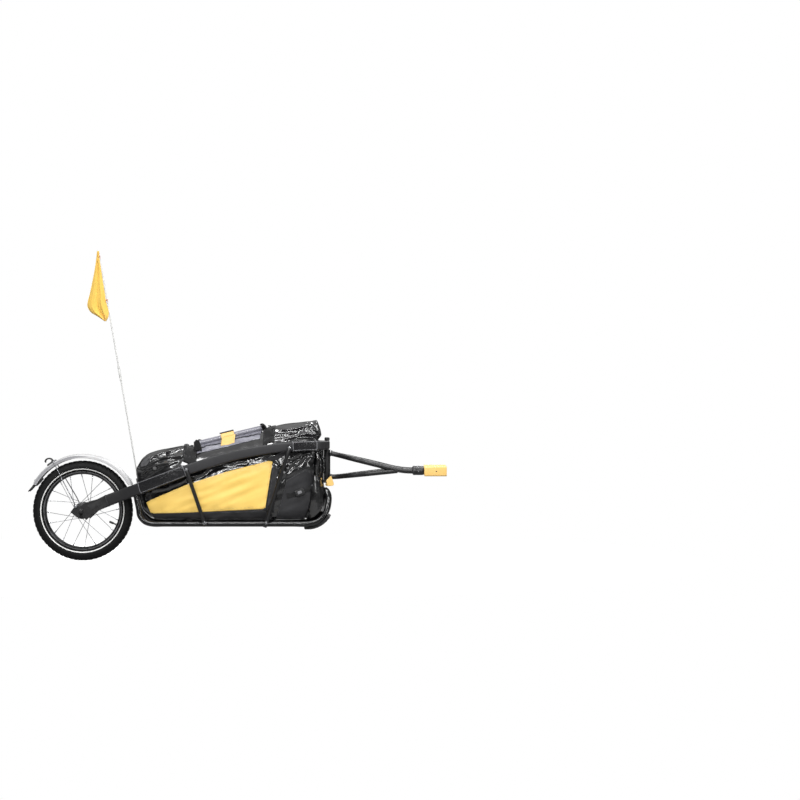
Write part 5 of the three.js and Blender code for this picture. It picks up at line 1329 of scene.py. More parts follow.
def inflateBag(shell):
    # the filled cloth settles under a little pressure, held behind the beams, at the base and under the roll
    plan = bagPlan
    held = shell.vertex_groups.new(name="held")
    for v in shell.data.vertices:
        x, y, z = v.co * 1000
        fixed = z < 172 or (x > 318 and z < 470)
        underRoll = 0.8 if -165 < x < 105 and abs(y) < 22 and z > 440 else 0.0
        hold = max(beamNear(x, z) * 0.9, 1.0 if fixed else underRoll)
        if hold > 0:
            held.add([v.index], hold, 'REPLACE')
    rest = [v.co.copy() for v in shell.data.vertices]
    cloth = shell.modifiers.new("filled cloth", 'CLOTH')
    for key, value in plan["cloth"].items():
        setattr(cloth.settings, key, value)
    cloth.settings.shrink_min = cloth.settings.shrink_max = plan["growth"]
    cloth.settings.vertex_group_mass = "held"
    cloth.settings.effector_weights.gravity = 0
    cloth.collision_settings.use_collision = False
    scene = bpy.context.scene
    for number in range(1, plan["frames"] + 1):
        scene.frame_set(number)
    swollen = [v.co.copy() for v in shell.evaluated_get(bpy.context.evaluated_depsgraph_get()).data.vertices]
    shell.modifiers.remove(cloth)
    scene.frame_set(1)
    for v, before, after in zip(shell.data.vertices, rest, swollen):
        move = after - before
        most = plan["mostMove"] * (1 - 0.7 * beamNear(before.x * 1000, before.z * 1000)) * 0.001
        if move.length > most:
            move *= most / move.length
        v.co = before + move


def makeBagShell():
    plan = bagPlan
    shares = [i / plan["stations"] for i in range(plan["stations"] + 1)]
    rings = [bagRing(s, plan["inset"]) for s in sorted(set(shares + [0.004, 0.012, 0.977, 0.979, 0.996]))]
    middle = sum(rings[0], Vector()) / len(rings[0])
    rings.insert(0, [p.lerp(middle, 0.12) + at(-1.4, 0, 0) for p in rings[0]])
    shell = makePiece("bag_shell", ringSkin(rings), bagTarp, "frame", ("bag_body",), crease=180)
    remesh = shell.modifiers.new("even net", 'REMESH')
    remesh.mode, remesh.voxel_size, remesh.use_smooth_shade = 'VOXEL', plan["voxel"], True
    bakeModifiers(shell)
    inflateBag(shell)
    eased = shell.modifiers.new("eased net", 'SMOOTH')
    eased.factor, eased.iterations = 0.5, plan["easing"]
    even = shell.modifiers.new("fine net", 'SUBSURF')
    even.levels = even.render_levels = 1
    bakeModifiers(shell)
    mesh = shell.data
    settled = []
    rises = ridgeHeights([(v.co.x * 1000, v.co.z * 1000) for v in mesh.vertices])
    for p, out, rise in zip([v.co.copy() for v in mesh.vertices], [v.normal.copy() for v in mesh.vertices],
                            rises):
        x, z = p.x * 1000, p.z * 1000
        side = min(1.0, abs(out.y) * 2.2 + max(0.0, out.z) * 0.9)
        ripple = noise.noise(Vector((x * 0.009 + z * 0.003, p.y * 9, z * 0.042 - x * 0.016))) * 3.0
        push = (rise * side + ripple * (0.35 + 0.65 * side)) * (1 - 0.75 * beamNear(x, z))
        settled.extend(keptInside(p + out * push * 0.001))
    mesh.vertices.foreach_set("co", settled)
    mesh.update()
    mesh.shade_smooth()
    mesh.materials.clear()
    mesh.materials.append(bagTarp)
    return shell


def keptInside(spot):
    # holds the cloth clear of the beams, rails and crossbars
    x, y, z = spot * 1000
    wide = 127.5 - 3.0 * beamNear(x, z)
    y = max(-wide, min(wide, y))
    overBar = abs(abs(y) - 105) < 16 or abs(x + 200) < 12 or abs(x - 150) < 12
    z = max(z, 162.1 if overBar else 160.5)
    if z < 470:
        x = min(x, 323.0)
    return at(x, y, z)


def bakeModifiers(piece):
    done = bpy.data.meshes.new_from_object(piece.evaluated_get(bpy.context.evaluated_depsgraph_get()))
    piece.modifiers.clear()
    piece.data = done


bagShell = makeBagShell()
bagTree = BVHTree.FromPolygons([v.co.copy() for v in bagShell.data.vertices],
                               [tuple(f.vertices) for f in bagShell.data.polygons])


def onSide(x, z, side, proud=1.0):
    # the place on the bag's side at a height, a little proud of the cloth
    hit, normal, _, _ = bagTree.ray_cast(at(x, side * 400, z), Vector((0, -side, 0)))
    if hit is None:
        return at(x, side * 60, z)
    return hit + (-normal if normal.y * side < 0 else normal) * proud * 0.001


def onRound(x, degreesUp, proud=1.0):
    # the place on the bag round a middle line, 90 degrees is the top and 0 the left side
    a = math.radians(degreesUp)
    out = Vector((0, math.cos(a), math.sin(a)))
    share = (x - bagPlan["rearX"]) / bagLong
    middle = at(x, 0, bagPlan["baseZ"] + bagTall * (between(bagPlan["top"], share) - 0.28))
    hit, normal, _, _ = bagTree.ray_cast(middle + out * 0.5, -out)
    if hit is None:
        return middle + out * 0.1
    if normal.dot(out) < 0:
        normal = -normal
    return hit + (normal * 0.6 + out * 0.4).normalized() * proud * 0.001


def alongRows(rows, share):
    # a spot at a share of the length of an outline
    lengths = [0.0]
    for (x0, z0), (x1, z1) in zip(rows, rows[1:]):
        lengths.append(lengths[-1] + math.hypot(x1 - x0, z1 - z0))
    goal = share * lengths[-1]
    for k in range(len(rows) - 1):
        if goal <= lengths[k + 1] or k == len(rows) - 2:
            t = (goal - lengths[k]) / max(lengths[k + 1] - lengths[k], 1e-9)
            (x0, z0), (x1, z1) = rows[k], rows[k + 1]
            return x0 + (x1 - x0) * t, z0 + (z1 - z0) * t


def gridPiece(name, spots, finish, thickness, standsFor=()):
    # a sheet over rows of spots, thickened inwards
    net = [p for row in spots for p in row], quads(len(spots), len(spots[0]), False, False)
    sheet = makePiece(name, net, finish, "frame", standsFor, crease=180)
    outward = sum((f.normal.dot(f.center - Vector((f.center.x, 0, 0.3))) for f in sheet.data.polygons))
    wall = sheet.modifiers.new("cloth thickness", 'SOLIDIFY')
    wall.thickness = thickness * 0.001
    wall.offset = -1 if outward > 0 else 1


def stitchRun(path, pitch=0.0052, length=0.0032):
    shapes, carried = [], 0.0
    for a, b in zip(path, path[1:]):
        step = (b - a).length
        if step < 1e-6:
            continue
        run = (b - a) / step
        while carried < step:
            p, q = a + run * carried, a + run * min(carried + length, step)
            if (q - p).length > 0.001:
                shapes.append(tubeAlong([p, q], 0.35, 5))
            carried += pitch
        carried -= step
    return joined(*shapes)


def insetLoop(spots):
    # a loop running just inside a sheet's edge
    n, m = len(spots) - 1, len(spots[0]) - 1
    a, b = max(1, n // 60), max(1, m // 20)
    rows = [row[b:m - b + 1] for row in spots[a:n - a + 1]]
    loop = rows[0] + [row[-1] for row in rows[1:-1]] + rows[-1][::-1] + [row[0] for row in rows[-2:0:-1]]
    return loop + loop[:1]


def sidePatch(name, upper, lower, finish, columns, rows, lift=1.1, wall=1.0, node=None, stitched=True):
    for side in (-1, 1):
        label = name + "_" + sideName(side)
        spots = []
        for i in range(columns + 1):
            (xa, za), (xb, zb) = alongRows(upper, i / columns), alongRows(lower, i / columns)
            spots.append([onSide(xa + (xb - xa) * v, za + (zb - za) * v, side, lift)
                          for v in (j / rows for j in range(rows + 1))])
        gridPiece(label, spots, finish, wall, (node + "_" + sideName(side),) if node else ())
        if stitched:
            sewn = stitchRun([p + Vector((0, side * 0.0001, 0)) for p in insetLoop(spots)])
            makePiece(label + "_stitches", sewn, greyMoulding)


panelPlan = {
    "rearX": -356.0, "frontX": 147.0, "baseZ": 192.0, "topZ": 401.0, "lift": 1.5, "wall": 1.2,
    "upper": [(0, 0.2), (0.035, 0.25), (0.315, 0.535), (0.635, 0.79), (0.975, 1), (0.998, 0.99), (1, 0.965)],
    "lower": [(0.035, 0.015), (0.06, 0), (0.455, 0.035), (0.925, 0.09), (0.945, 0.12)]}


def makePanels():
    plan = panelPlan
    long, tall = plan["frontX"] - plan["rearX"], plan["topZ"] - plan["baseZ"]
    upper, lower = ([(plan["rearX"] + x * long, plan["baseZ"] + z * tall) for x, z in plan[edge]]
                    for edge in ("upper", "lower"))
    sidePatch("side_panel", upper, lower, yellowTarp, 120, 40, plan["lift"], plan["wall"], "bag_panel")
    sidePatch("base_band", [(-334, 196), (-120, 199), (118, 206)], [(-322, 168), (-120, 167), (150, 167)],
              patchCloth, 80, 8)
    sidePatch("slanted_band", [(150, 392), (120, 199)], [(170, 372), (152, 196)], patchCloth, 30, 5, 1.15)
    sidePatch("front_pocket", [(203, 326), (240, 350), (275, 368), (296, 362), (312, 338)],
              [(160, 172), (200, 169), (262, 169), (292, 174), (308, 200)], patchCloth, 40, 28, 1.6, 1.2)
    sidePatch("upper_patch", [(100, 404), (160, 424), (210, 446)], [(146, 400), (176, 408), (196, 424)],
              patchCloth, 24, 5, stitched=False)
    sidePatch("rear_corner_patch", [(-380, 390), (-368, 405), (-346, 415)],
              [(-381, 374), (-358, 380), (-340, 403)],
              paleCloth, 20, 8, 1.2, stitched=False)
    sidePatch("rear_upright_band", [(-352, 262), (-338, 205)], [(-340, 268), (-322, 214)], patchCloth, 16, 4,
              stitched=False)


def makeBagFolds():
    # the long creases stand out of both sides as tapered, half-sunk ridges
    sharpFolds = foldLines + [(6.5, [(222, 487), (250, 491), (285, 491), (320, 486)]),
                              (4.0, [(236, 478), (280, 480), (318, 474)])]
    for side in (-1, 1):
        ridges = []
        for height, rows in sharpFolds:
            line = smoothPath([Vector((x, 0, z)) for x, z in rows], 8 * len(rows))
            spots = [onSide(p.x, p.z, side, -0.3 * height) for p in line
                     if bagTree.ray_cast(at(p.x, side * 400, p.z), Vector((0, -side, 0)))[0]]
            if len(spots) > 6:
                path = smoothPath(spots[::3] + spots[-1:], 60)
                ridges.append(tubeAlong(path, lambda s: 0.3 + 0.72 * height * math.sin(math.pi * s) ** 0.7,
                                        12))
        makePiece("bag_folds_" + sideName(side), joined(*ridges), bagTarp, crease=180)


gussetPlan = {"halfWidth": 88, "baseZ": 164.5, "sideTop": 344, "middleTop": 256,
              "pleats": ((25, 7.0), (38, 8.5), (52, 9.0), (66, 7.5))}


def makeFrontGusset():
    # the cloth swells out between the rails and hangs in folds beside the head column
    plan, rings = gussetPlan, []
    base = plan["baseZ"]
    for i in range(61):
        y = plan["halfWidth"] * (i / 30 - 1)
        full = max(0.0, 1 - (abs(y) / 90) ** 6) ** 0.4
        lobe = min(1.0, max(0.0, (abs(y) - 42) / 12))
        top = plan["middleTop"] + (plan["sideTop"] - plan["middleTop"]) * lobe * lobe * (3 - 2 * lobe)
        reach = 64 + 7.5 * min(1.0, max(0.0, (62 - abs(y)) / 24))
        line = []
        for j in range(33):
            z = base + (top - base) * j / 32
            below = min(z - 229, 0)
            x = 286 + math.sqrt(max(0, reach * reach - below * below)) - 10.5 * max(0, (z - 250) / 90)
            x -= 26 * max(0, (j - 27) / 5) ** 2.4
            fold = 2.2 * noise.noise(Vector((y * 0.07, z * 0.018, 4.2)))
            fold += 1.1 * noise.noise(Vector((y * 0.16, z * 0.04, 1.1)))
            rear = 314 - 34 * max(0, (200 - z) / 36)
            line.append(at(rear + (x - 1.5 - rear) * full + fold - 1.2, y, z))
        rings.append([at(278, y, base)] + line + [at(310, y, top)])
    makePiece("front_gusset", ringSkin(rings), bagTarp, crease=180)
    pleats = []
    for side in (-1, 1):
        for k, (y, r) in enumerate(plan["pleats"]):
            path = [at(321 + 2.5 * math.sin(t * 0.5 + k), side * (y + 2.4 * math.sin(t * 0.33 + k * 1.7)),
                       336 + t * 7.4)
                    for t in range(15)]
            pleats.append(tubeAlong(smoothPath(path, 50),
                                    lambda s: r * (0.72 + 0.28 * math.sin(math.pi * min(1, s * 1.1))), 18))
    makePiece("front_pleats", joined(*pleats), bagTarp, crease=180)
    for side in (-1, 1):
        spots = []
        for i in range(31):
            z = 332 + 108 * i / 30
            lip = 343 + 8.5 * min(1.0, max(0.0, min(z - 345, 413 - z) / 12))
            row = []
            for j in range(19):
                x = 317 + (lip - 317) * j / 18
                fold = 1.6 * math.sin(j * 0.9 + z * 0.02)
                fold += 0.8 * noise.noise(Vector((x * 0.1, z * 0.04, side)))
                row.append(at(x, side * (17.4 + fold), z))
            spots.append(row)
        gridPiece("column_cover_" + sideName(side), spots, bagTarp, 1.0)


buckleStrap = ((203, 262), (228, 268), (256, 277), (284, 292), (304, 306), (314, 316))


def makeBuckles():
    # a webbing strap with a side-release buckle on each front pocket
    for side in (-1, 1):
        name = sideName(side)
        path = smoothPath([onSide(x, z, side, 2.6) for x, z in buckleStrap], 60)

        def outOf(run):
            return (Vector((0, side, 0)) - run * run.y * side).normalized()
        rings = []
        for i, p in enumerate(path):
            run = runAt(path, i)
            rings.append(tapeRing(p, run.cross(outOf(run)) * 10, outOf(run) * 0.8, 0.2, 2))
        makePiece("pocket_strap_" + name, ringSkin(rings), strapWeave, crease=50)
        run = runAt(path, 22, 2)
        out = outOf(run)
        turn = Matrix((run, out.cross(run), out)).transposed().to_4x4()
        turn.translation = path[22] + out * 0.0045

        def put(x, y, h):
            return turn @ at(x, y, h)
        body = roundedProfile([(-17, -12), (13, -13), (22, -9), (22, 9), (13, 13), (-17, 12)], 4, 4)
        buckle = stacked(body, ((0.92, -3.4), (1, -2.4), (1, 2.4), (0.93, 3.8), (0.82, 4.2)), put)
        makePiece("pocket_buckle_" + name, buckle, blackMoulding, crease=40)
        inlay = roundedProfile([(-8, -6), (9, -5), (9, 5), (-8, 6)], 2.5, 4)
        plate = stacked(inlay, ((1, 4.0), (1, 4.9), (0.9, 5.3)), put)
        makePiece("pocket_buckle_plate_" + name, plate, greyMoulding, crease=40)
        stud = [(0, 0), (4.6, 0), (4.8, 0.8), (3.6, 1.8), (1.6, 2.0), (0, 1.6)]
        makePiece("pocket_stud_" + name, lathed(stud, (0, side, 0), onSide(301, 303, side, 3.4), 28),
                  turnedSteel)
        knob = [(0, 0), (7.5, 0), (9, 2), (9, 7), (7, 9.5), (0, 10)]
        makePiece("bag_knob_" + name, lathed(knob, (0, side, 0.3), onSide(-322, 368, side, -1), 28),
                  blackMoulding)


rollPlan = {"rearX": -160.0, "frontX": 99.0, "rearZ": 466.0, "frontZ": 529.0, "radius": 14.3,
            "gripShare": 0.475, "gripLength": 54.0, "tailRear": -60.5, "tailFront": -6.5}


def rollSpot(share):
    plan = rollPlan
    return at(plan["rearX"] + share * (plan["frontX"] - plan["rearX"]), 0,
              plan["rearZ"] + share * (plan["frontZ"] - plan["rearZ"]))


rollOver = leftward.cross((rollSpot(1) - rollSpot(0)).normalized())
rollOver = -rollOver if rollOver.z < 0 else rollOver


def makeRoll():
    # the closure rolled up in turns: a spiral section along the top, with creases across it; its light grey
    # colour is painted reflection
    plan, rings = rollPlan, []
    for i in range(91):
        share = i / 90
        middle = rollSpot(share)
        crease = 0.35 * math.sin(share * 61) + 0.5 * noise.noise(Vector((share * 14, 3.1, 0)))
        outer, inner = [], []
        for j in range(58):
            a = 2.35 * 2 * math.pi * j / 57 - 1.2
            r = 5.6 + (plan["radius"] - 6.2) * j / 57 + crease * 0.5 * math.sin(a * 2 + share * 9)
            out = leftward * math.cos(a) * 1.02 + rollOver * math.sin(a) * 0.96
            outer.append(middle + out * r * 0.001)
            inner.append(middle + out * (r - 1.3) * 0.001)
        rings.append(outer + inner[::-1])
    makePiece("roll_closure", ringSkin(rings), filmPaintedReflection, "frame", ("bag_roll",), crease=60)
    stiff = [rollSpot(0.006 + 0.988 * i / 20) for i in range(21)]
    makePiece("roll_stiffener", tubeAlong(stiff, 4.4, 16), blackMoulding)
    for side in (-1, 1):
        spots, seam = [], []
        for i in range(61):
            share = i / 60
            x = plan["rearX"] + 4 + (plan["frontX"] - plan["rearX"] - 8) * share
            hung = rollSpot(share) + at(0, side * (plan["radius"] - 2.2), -7)
            landed = onRound(x, 90 - side * 24, 1.6)
            seam.append(landed + at(0, side * 0.6, 1.4))
            spots.append([hung.lerp(landed, j / 6) for j in range(6)] + [
                onRound(x, 90 - side * (24 + 16 * j / 9), 1.6 + 0.4 * math.sin(j * 1.1 + i * 0.21))
                for j in range(10)])
        label = sideName(side)
        gridPiece("closure_layer_" + label, spots, filmPaintedReflection, 1.0)
        makePiece("closure_seam_" + label, tubeAlong(seam, 1.9, 10), strapWeave)
        # darker lines along the layer's folds, painted shade in the creases
        folds = [tubeAlong([row[0].lerp(row[6], lift) + at(0, side * 0.7, 0) for row in spots[1:-1]], 1.0, 8)
                 for lift in (0.25, 0.55, 0.8)]
        makePiece("closure_folds_" + label, joined(*folds), filmPaintedShade)


def makeRollEnds():
    # the roll's ends tuck in under the straps
    ends = []
    for a, b in ((-0.045, 0.006), (0.994, 1.045)):
        path = [rollSpot(a + (b - a) * k / 6) for k in range(7)]
        ends.append(tubeAlong(path, lambda s: 12.6 - 1.8 * abs(2 * s - 1) ** 3, 24))
    makePiece("roll_ends", joined(*ends), strapWeave, crease=60)


def makeGrip():
    plan, rings = rollPlan, []
    half, r = plan["gripLength"] / 2 / 266.5, plan["radius"] + 1.6
    ways = [leftward * math.cos(a) + rollOver * math.sin(a)
            for a in (math.radians(-62 + 304 * j / 40) for j in range(41))]
    for i in range(29):
        middle = rollSpot(plan["gripShare"] + half * (i / 14 - 1))
        swell = 0.9 if i in (0, 28) else (1.0 if i in (1, 27) else 1.03)
        rings.append([middle + way * (r * swell + 1.4) * 0.001 for way in ways]
                     + [middle + way * r * 0.001 for way in reversed(ways)])
    # the grip's paler yellow is painted sheen on the same cloth
    makePiece("grip_band", ringSkin(rings), gripPaintedSheen, "frame", ("grip_wrap",), crease=60)
    for side in (-1, 1):
        spots = []
        for i in range(15):
            x = plan["tailRear"] + (plan["tailFront"] - plan["tailRear"]) * i / 14
            share = (x - plan["rearX"]) / (plan["frontX"] - plan["rearX"])
            hung = rollSpot(share) + at(0, side * (r + 1.6), 2)
            landed = onRound(x, 90 - side * 27, 3.4)
            spots.append([hung.lerp(landed, j / 8) + at(0, side * 2.4 * math.sin(math.pi * j / 8), 0)
                          for j in range(8)]
                         + [onRound(x, 90 - side * (27 + 8 * j / 16), 3.4 - 1.2 * j / 16)
                            for j in range(17)])
        gridPiece("grip_tail_" + sideName(side), spots, gripPaintedSheen, 1.6)
        makePiece("grip_stitches_" + sideName(side), stitchRun(insetLoop(spots)), patchStitch)
    top = [rollSpot(plan["gripShare"] + half * (i / 10 - 1.06) * 1.04) + rollOver * (r + 3.2) * 0.001
           for i in range(21)]
    makePiece("grip_top_tape", ringSkin([tapeRing(p, leftward * 8, rollOver * 2.6) for p in top]),
              patchCloth)


# the rear and front end, the lowest angle, the lift, the rows along, and how far the ends taper in degrees
strapPlan = {"rear": (-209, -156, 24, 5.0, 14, 8), "front": (108, 153, 30, 3.2, 12, -10), "wall": 2.2,
             "around": 70}


def makeStraps():
    # bands laid over the bag's top from side to side, each with rows of stitches
    runs, around = [], strapPlan["around"]
    for name in ("rear", "front"):
        x0, x1, lowAngle, lift, columns, tapered = strapPlan[name]
        spots = []
        for i in range(columns + 1):
            low = lowAngle + tapered * abs(i / columns - 0.5)
            spots.append([onRound(x0 + (x1 - x0) * i / columns, low + (180 - 2 * low) * j / around, lift)
                          for j in range(around + 1)])
        gridPiece(name + "_strap_band", spots, strapWeave, strapPlan["wall"], ("strap_" + name,))
        runs += [stitchRun(row) for row in (spots[1], spots[-2])]
        runs += [stitchRun([row[j] for row in spots[1:-1]]) for j in (6, 8, -7, -9)]
    makePiece("strap_stitches", joined(*runs), greyMoulding)
    # the rear strap's folded tongue, and the front strap's curled loop
    tongue = roundedProfile([(-168, 470), (-160, 484), (-148, 481), (-142, 466), (-134, 436), (-150, 444),
                             (-166, 436)],
                            3, 4)
    for name, low in (("right", -74), ("left", 56)):
        shape = plateShape(tongue, low, low + 18)
        makePiece("rear_strap_tongue_" + name, shape, strapWeave, bevel=2.5, bevelSteps=3)
    curl = ((120, 508), (118, 524), (112, 537), (101, 545), (93, 542))
    path = smoothPath([at(x, -22, z) for x, z in curl], 40)
    rings = [tapeRing(p, leftward * 13 * (1 - 0.25 * i / 40),
                      runAt(path, i).cross(leftward).normalized() * 3.2, 0.25)
             for i, p in enumerate(path)]
    makePiece("front_strap_loop", ringSkin(rings), strapWeave, crease=50)
    bar = roundedProfile([(-17, -5), (17, -5), (17, 5), (-17, 5)], 2.4, 4)
    for x, name in ((-182, "rear"), (130, "front")):
        spot = onRound(x, 90, 5.4)
        slide = stacked(bar, ((0.92, -1.5), (1, -0.6), (1, 1.6), (0.9, 2.6)),
                        lambda u, v, h: spot + at(v, u, h))
        makePiece(name + "_strap_slide", slide, blackMoulding, crease=40)


flapPlan = {"rear": (-376.0, -199.0), "front": (226.0, 316.0), "clearance": 0.5, "wall": 2.3, "steps": 50}


def makeFlaps():
    # cloth flaps wrapped round the beams, with welted edges painted light grey as highlights, and a row of
    # stitches
    plan = flapPlan
    steps = plan["steps"]
    for place in ("rear", "front"):
        a, b = (beamShareAt(x) for x in plan[place])
        shares = [a + (b - a) * i / steps for i in range(steps + 1)]
        outer = [beamRing(share, plan["clearance"] + plan["wall"]) for share in shares]
        inner = [beamRing(share, plan["clearance"]) for share in reversed(shares)]
        for ring in outer[3:-3]:
            middle = sum(ring, Vector()) / len(ring)
            for j, p in enumerate(ring):
                soft = noise.noise(p * 26) * 0.9 + 0.5 * noise.noise(p * 70)
                ring[j] = p + (p - middle).normalized() * soft * 0.0006
        shape = ringSkin(outer + inner, closed=True)
        welts = [tubeAlong(beamRing(share, 2.4, 4), 1.15, 8, closed=True)
                 for share in (shares[0], shares[-1])]
        # light lines along the flap's rounded corners, painted highlights
        welts += [tubeAlong([ring[k] for ring in outer], 0.75, 6) for k in (2, 11, 16, 25)]
        sewn = stitchRun([ring[18].lerp(ring[24], 0.12) + (ring[18] - ring[4]).normalized() * 0.0001
                          for ring in outer[1:-1]])
        for name, turn in bothSides:
            label = place + "_flap_" + name
            makePiece(label, turn(shape), flapTarp, "frame", ("bag_flap_" + place + "_" + name,), crease=40)
            makePiece(label + "_welts", turn(joined(*welts)), weltPaintedHighlight)
            makePiece(label + "_stitches", turn(sewn), greyMoulding)


makePanels()
makeBagFolds()
makeFrontGusset()
makeBuckles()
makeRoll()
makeRollEnds()
makeGrip()
makeStraps()
makeFlaps()

print("yoke")

yokePlan = {
    "rootX": 369.0, "rootY": 10.6, "upperZ": 429.5, "lowerZ": 333.5, "hitchX": 794.4, "hitchY": 100.0,
    "hitchZ": 359.5, "collarRear": 702.0, "armRadius": 10.0, "braceRadius": 9.5, "pinX": 359.0,
    "plan": [(0, 0), (0.093, 0.06), (0.183, 0.284), (0.279, 0.55), (0.452, 0.8), (0.692, 0.935), (1, 1)],
    "upperFall": [(0, 0), (0.093, 0.1), (0.6, 0.68), (0.7, 0.805), (0.865, 0.97), (1, 1)],
    "lowerRise": [(0, 0), (0.093, 0.06), (0.6, 0.77), (0.724, 0.93), (0.85, 1.12)]}


def armSpots(rootZ, fall, shares):
    plan = yokePlan
    spots = [at(plan["pinX"], plan["rootY"], rootZ)]
    for share in shares:
        x = plan["rootX"] + share * (plan["collarRear"] - 0.3 - plan["rootX"])
        y = plan["rootY"] + between(plan["plan"], share) * (plan["hitchY"] - plan["rootY"])
        spots.append(at(x, y, rootZ + between(fall, share) * (plan["hitchZ"] - rootZ)))
    return spots


def makeArms():
    plan = yokePlan
    shares = [0.093, 0.183, 0.279, 0.365, 0.452]
    end = at(plan["collarRear"] - 0.4, plan["hitchY"], plan["hitchZ"])
    upper = armSpots(plan["upperZ"], plan["upperFall"], shares + [0.6, 0.7, 0.8, 0.9]) + [end]
    upper[0].z += 0.0025
    lower = armSpots(plan["lowerZ"], plan["lowerRise"], shares + [0.55, 0.65, 0.75, 0.815])
    upperLine, lowerLine = smoothPath(upper, 150), smoothPath(lower, 130)
    arm = tubeAlong(upperLine[6:], plan["armRadius"], 24)
    brace = tubeAlong(lowerLine[5:], plan["braceRadius"], 24)
    nearest = min(upperLine, key=lambda p: (p - lowerLine[-1]).length)
    foot = lowerLine[-1].lerp(nearest, 0.15) - (lowerLine[-1] - lowerLine[-8]).normalized() * 0.004
    welds = [weldRound([foot + at(16.5 * math.cos(a), 9.8 * math.sin(a), -3.3 * math.cos(a))
                        for a in fullTurn(16)], 1.7)]
    welds.append(weldRound(ringAround(end, (1, 0, 0), 10.6), 1.5))
    for line, r in ((upperLine, plan["armRadius"]), (lowerLine, plan["braceRadius"])):
        welds.append(weldRound(ringAround(line[7], line[9] - line[7], r + 0.5), 1.7))
    for name, turn in bothSides:
        makePiece("arm_tube_" + name, turn(arm), tubePaint, "yoke", ("yoke_arm_" + name,), crease=50)
        makePiece("brace_tube_" + name, turn(brace), tubePaint, "yoke", ("yoke_brace_" + name,), crease=50)
        makePiece("arm_welds_" + name, turn(joined(*welds)), weldBead, "yoke")


def makePivot():
    pinX = yokePlan["pinX"]
    foot = at(pinX, 0, 0)
    tube = roundedProfile([(6.6, 323.6), (13, 323.6), (13, 441.4), (6.6, 441.4)], 1.2, 3)
    makePiece("steerer_tube", spun(tube, foot, 56, 'Z'), tubePaint, "yoke", ("yoke_steerer",), crease=50)
    lower = [(5.3, 321.3), (12.2, 321.3), (13, 321.7), (13, 322.9), (12.4, 323.3), (6.3, 323.3),
             (6.3, 337.3), (5.3, 337.3)]
    for name, rows in (("lower", lower), ("upper", [(r, 765 - h) for r, h in lower])):
        makePiece("bush_" + name + "_flange", spun(rows, foot, 48, 'Z'), turnedSteel, "yoke",
                  ("bushing_" + name,))
    pin = [(0, 310.8), (4.4, 310.8), (5, 311.5), (5, 478.4), (9.2, 478.4), (10, 479.2), (10, 484.2),
           (9.3, 485), (9.3, 486), (10, 486.8), (10, 489.4), (8.4, 491.6), (6, 492.4), (0, 492.5)]
    shape = spun(pin, foot, 48, 'Z', False)
    makePiece("pivot_pin_with_nut", shape, blackMoulding, "yoke", ("pivot_pin",), crease=40)
    makePiece("pivot_nut_grip", ribsRound(pinX, 0, 9.8, 0.5, 480, 488.6, 18), blackMoulding, "yoke")


def makePivotLever():
    camZ, pivotX = 303.9, yokePlan["pinX"]
    cam = roundedProfile(evenSection([(0.001, -10), (6.5, -10)]), 1.0, 3)
    barrel = spun(cam, at(pivotX, 0, camZ), 40, 'Y')
    link = boxShape((362.5, -31.5, camZ - 4), (370.5, -6, camZ + 4))
    shares = [(-0.1, 0.45), (0.5, 0.98), (0.62, 0.97), (0.74, 0.6), (0.96, 0.08), (0.86, -0.12),
              (0.3, -0.17), (0.1, -0.15)]
    outline = roundedProfile([(pivotX + x * 30, camZ + z * 35) for x, z in shares], 3.5, 4)
    ridges = [tubeAlong([at(pivotX + x, -38.0, camZ + z), at(pivotX + x + 6, -38.0, camZ + z + 8)], 0.6, 8)
              for x, z in ((7, 6), (10.5, 4), (14, 2))]
    makePiece("pivot_lever_cam", barrel, yellowShell, "pivot_lever", ("pivot_lever",), crease=40)
    makePiece("pivot_lever_link", link, yellowShell, "pivot_lever", bevel=1.3, bevelSteps=3)
    paddle = plateShape(outline, -38, -27.5)
    makePiece("pivot_lever_paddle", paddle, yellowShell, "pivot_lever", bevel=2.0, bevelSteps=4)
    makePiece("pivot_lever_ridges", joined(*ridges), yellowShell, "pivot_lever")


def makeColumnClips():
    # the small yellow clips on both sides of the head column
    bar = roundedProfile([(328, 297), (344, 298), (344, 304), (328, 303)], 1.6, 3)
    tab = roundedProfile([(332, 320), (339, 322), (339, 331), (333, 328)], 1.6, 3)
    for name, low in (("right", -17.2), ("left", 14.4)):
        shape = joined(plateShape(bar, low, low + 2.8), plateShape(tab, low, low + 2.4))
        makePiece("column_clip_" + name, shape, yellowShell, bevel=0.6)


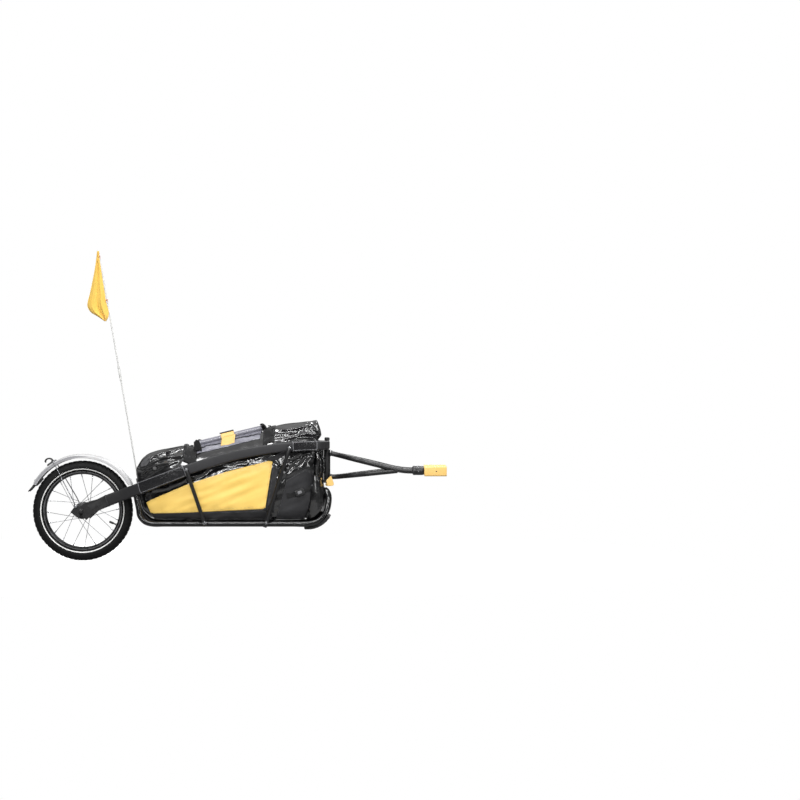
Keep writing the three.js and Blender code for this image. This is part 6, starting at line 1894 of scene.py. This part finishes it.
def makeHitch():
    plan = yokePlan
    y, z = plan["hitchY"], plan["hitchZ"]
    axis = at(0, y, z)
    collar = [(0, 702), (13.6, 702), (15, 702.8), (15.5, 704), (15.5, 713), (14.9, 713.8), (14.9, 715.2),
              (15.5, 716), (15.5, 738), (14.6, 744.6), (13.4, 746), (8, 746), (8, 789), (0, 789)]
    turns, perTurn = 7, 20
    wire = [axis + at(747.6 + i / (turns * perTurn) * 30.2, 10.6 * math.cos(a), 10.6 * math.sin(a))
            for i, a in ((i, 2 * math.pi * i / perTurn) for i in range(turns * perTurn + 1))]
    collar, spring = spun(collar, axis, 56, 'X', False), tubeAlong(wire, 1.7, 10)
    sleeve, claw = sleeveShape(), clawShape()
    dot = [(0, 0), (2.4, 0), (2.5, 0.5), (1.9, 0.8), (0, 0.9)]
    pin = lathed(dot, (0, 1, 0), at(plan["hitchX"], y + 19.6, z), 20)
    screw = boltHead(at(722, y, z + 15.1), (0, 0, 1), 5, 1.6, False)
    screws = joined(screw, lathed(dot, (0, 1, 0), at(724, y + 15.0, z), 20))
    for name, turn in bothSides:
        slider = "hitch_sleeve_" + name
        makePiece("hitch_collar_" + name, turn(collar), tubePaint, "yoke", ("hitch_end_" + name,), crease=35)
        makePiece("hitch_claw_" + name, turn(claw), tubePaint, "yoke", bevel=1.0)
        coil = makePiece("wound_spring_" + name, turn(spring), turnedSteel, "yoke",
                         ("hitch_spring_" + name,))
        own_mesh(coil)
        makePiece("sleeve_shell_" + name, turn(sleeve), yellowShell, slider, (slider,), bevel=0.8,
                  bevelSteps=3)
        makePiece("sleeve_pin_" + name, turn(pin), blackMoulding, slider)
        makePiece("collar_screws_" + name, turn(screws), turnedSteel, "yoke")


def clawShape():
    # a block with a slot open downwards, drawn as an outline in the XZ plane
    x, y, z = yokePlan["hitchX"], yokePlan["hitchY"], yokePlan["hitchZ"]
    rows = [(786.5, z - 13), (786.5, z + 13), (832.7, z + 13), (832.7, z - 13), (x + 5.2, z - 13)]
    rows += arc(x, z, 5.2, range(0, 181, 15)) + [(x - 5.2, z - 13)]
    return plateShape(rows, y - 13, y + 13)


def sleeveShape():
    # a square tube with rounded corners, eased ends, and slots for the axle end
    y, z = yokePlan["hitchY"], yokePlan["hitchZ"]
    stations = [(746.7, 18.6, 17.2), (747.6, 19.6, 17.0), (750, 20, 17.0), (832.4, 20, 17.0),
                (834.8, 19.6, 17.0), (835.7, 18.6, 17.2)]
    outer = [[at(x, y + a, z + b) for a, b in roundedBox(half, half, 7)] for x, half, inn in stations]
    inner = [[at(x, y + a, z + b) for a, b in roundedBox(inn, inn, 5)]
             for x, half, inn in reversed(stations)]
    entry = boxShape((789.2, 70, 354.3), (823.6, 83.9, 364.7))
    drop = boxShape((813.2, 70, 330), (823.6, 112, 359.5))
    return carved(ringSkin(outer + inner, closed=True), entry, drop)


makeArms()
makePivot()
makePivotLever()
makeColumnClips()
makeHitch()
